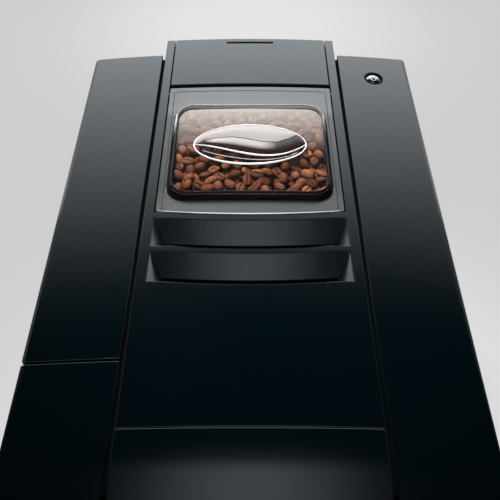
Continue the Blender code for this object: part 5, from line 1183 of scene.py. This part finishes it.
rings = [(STEM_RADIUS, STEM_FOOT), (STEM_RADIUS, CAP_UNDERSIDE)]
rings += [(BUTTON_RADIUS, CAP_FOOT), (BUTTON_RADIUS, BUTTON_SINK)]
for n in range(8):
    radius = BUTTON_RADIUS * (1 - n / 8)
    rings.append((radius - 0.0001, dome_height(radius)))
rings.append((0.0, dome_height(0.0)))
points, faces = turned_cap(rings)
cap = new_piece("power_button_cap", points, faces, [button_chrome], "power_key")
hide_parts("power_button")
symbol_white = moulded_plastic("symbol_white", (0.34, 0.345, 0.35), 0.5, grain_depth=0.0, gloss=0.1)
symbol = []
for n in range(29):
    a = math.radians(90 + RING_GAP + (360 - 2 * RING_GAP) * n / 28)
    x = SYMBOL_RADIUS * math.cos(a) - SYMBOL_SIDE
    y = SYMBOL_RADIUS * math.sin(a) - SYMBOL_SINK
    symbol.append(button_frame @ Vector((x, y, dome_height(math.hypot(x, y)) + SYMBOL_W)))
bar = [button_frame @ Vector((-SYMBOL_SIDE, y, dome_height(y) + SYMBOL_W)) for y in BAR]
for name, line, radius in (("ring", symbol, SYMBOL_LINE), ("bar", bar, BAR_LINE)):
    name = f"power_symbol_{name}"
    tube(name, line, [radius] * len(line), symbol_white, "power_key", sides=8)


# Everything else. The inner parts, the feet, the drip tray and the spouts keep their shapes from the
# parts, and each gets the finish of what it is made of.

dark_plastic = moulded_plastic("inner_black", (0.012, 0.012, 0.013), 0.5, grain_depth=0.2)
grey_plastic = moulded_plastic("inner_grey", (0.09, 0.09, 0.095), 0.5, grain_depth=0.2)
pale_plastic = moulded_plastic("brew_ivory", (0.55, 0.55, 0.52), 0.45, grain_depth=0.15)
rubber = moulded_plastic("foot_rubber", (0.02, 0.02, 0.02), 0.85, grain_size=700, grain_depth=0.4)
silicone = moulded_plastic("hose_silicone", (0.72, 0.72, 0.70), 0.4, grain_depth=0.1)
board = moulded_plastic("board_green", (0.012, 0.11, 0.04), 0.45, grain_size=300, grain_depth=0.3)
glass_black = moulded_plastic("display_black", (0.004, 0.004, 0.005), 0.07, grain_depth=0.0)


def bare_metal(name, colour, roughness, stretch=(1, 1, 1)):
    """A metal with fine brushed or cast variation in its gloss."""
    material, tree, shader = new_material(name)
    set_inputs(shader, Base_Color=(*colour, 1), Metallic=1.0)
    spot = new_node(tree, "TexCoord")
    squeeze = new_node(tree, "Mapping", Scale=stretch)
    lines = new_node(tree, "TexNoise", Scale=500)
    gloss = new_node(tree, "MapRange", To_Min=roughness - 0.06, To_Max=roughness + 0.06)
    link(spot, "Object", squeeze, "Vector")
    link(squeeze, "Vector", lines, "Vector")
    link(lines, "Fac", gloss, "Value")
    link(gloss, "Result", shader, "Roughness")
    return material


steel = bare_metal("sheet_steel", (0.5, 0.51, 0.53), 0.32, (1, 0.05, 1))
chrome = bare_metal("polished_chrome", (0.82, 0.83, 0.85), 0.12)
cast = bare_metal("cast_aluminium", (0.55, 0.54, 0.52), 0.45)
silver = bare_metal("silver_lacquer", (0.72, 0.73, 0.75), 0.18)

FINISHES = {
    dark_plastic: (
        "base_plate", "grind_knob", "niche_wall", "mains_inlet", "mains_switch", "drip_tray",
        "grounds_container", *(f"menu_button_{n}" for n in range(1, 7)),
    ),
    grey_plastic: (
        "bean_hopper", "grinder_housing", "grounds_chute", "powder_funnel", "tank_shelf",
        "spout_carriage",
    ),
    pale_plastic: (
        "brew_unit_frame", "brew_cylinder", "brew_drive_gear", "flow_meter", "tank_valve",
    ),
    rubber: ("foot_front_left", "foot_front_right", "foot_rear_left", "foot_rear_right", "lid_seal"),
    steel: (
        "left_frame", "right_frame", "flap_hinge_pin", "lid_hinge_pin", "grinder_motor",
        "water_pump", "upper_burr", "lower_burr", "brew_piston",
    ),
    chrome: ("drip_grid",),
    silver: ("coffee_nozzle_left", "coffee_nozzle_right"),
    well_black: ("power_button_ring",),
    cast: ("thermoblock",),
    silicone: ("water_hose",),
    board: ("control_board",),
    glass_black: ("display_window",),
}
for finish, names in FINISHES.items():
    for name in names:
        nodes[name].data.materials.clear()
        nodes[name].data.materials.append(finish)

tank_clear, tree, shader = new_material("tank_smoky_clear")
set_inputs(shader, Base_Color=(0.75, 0.8, 0.82, 1), Roughness=0.12, Transmission_Weight=0.9)
nodes["water_tank"].data.materials.clear()
nodes["water_tank"].data.materials.append(tank_clear)
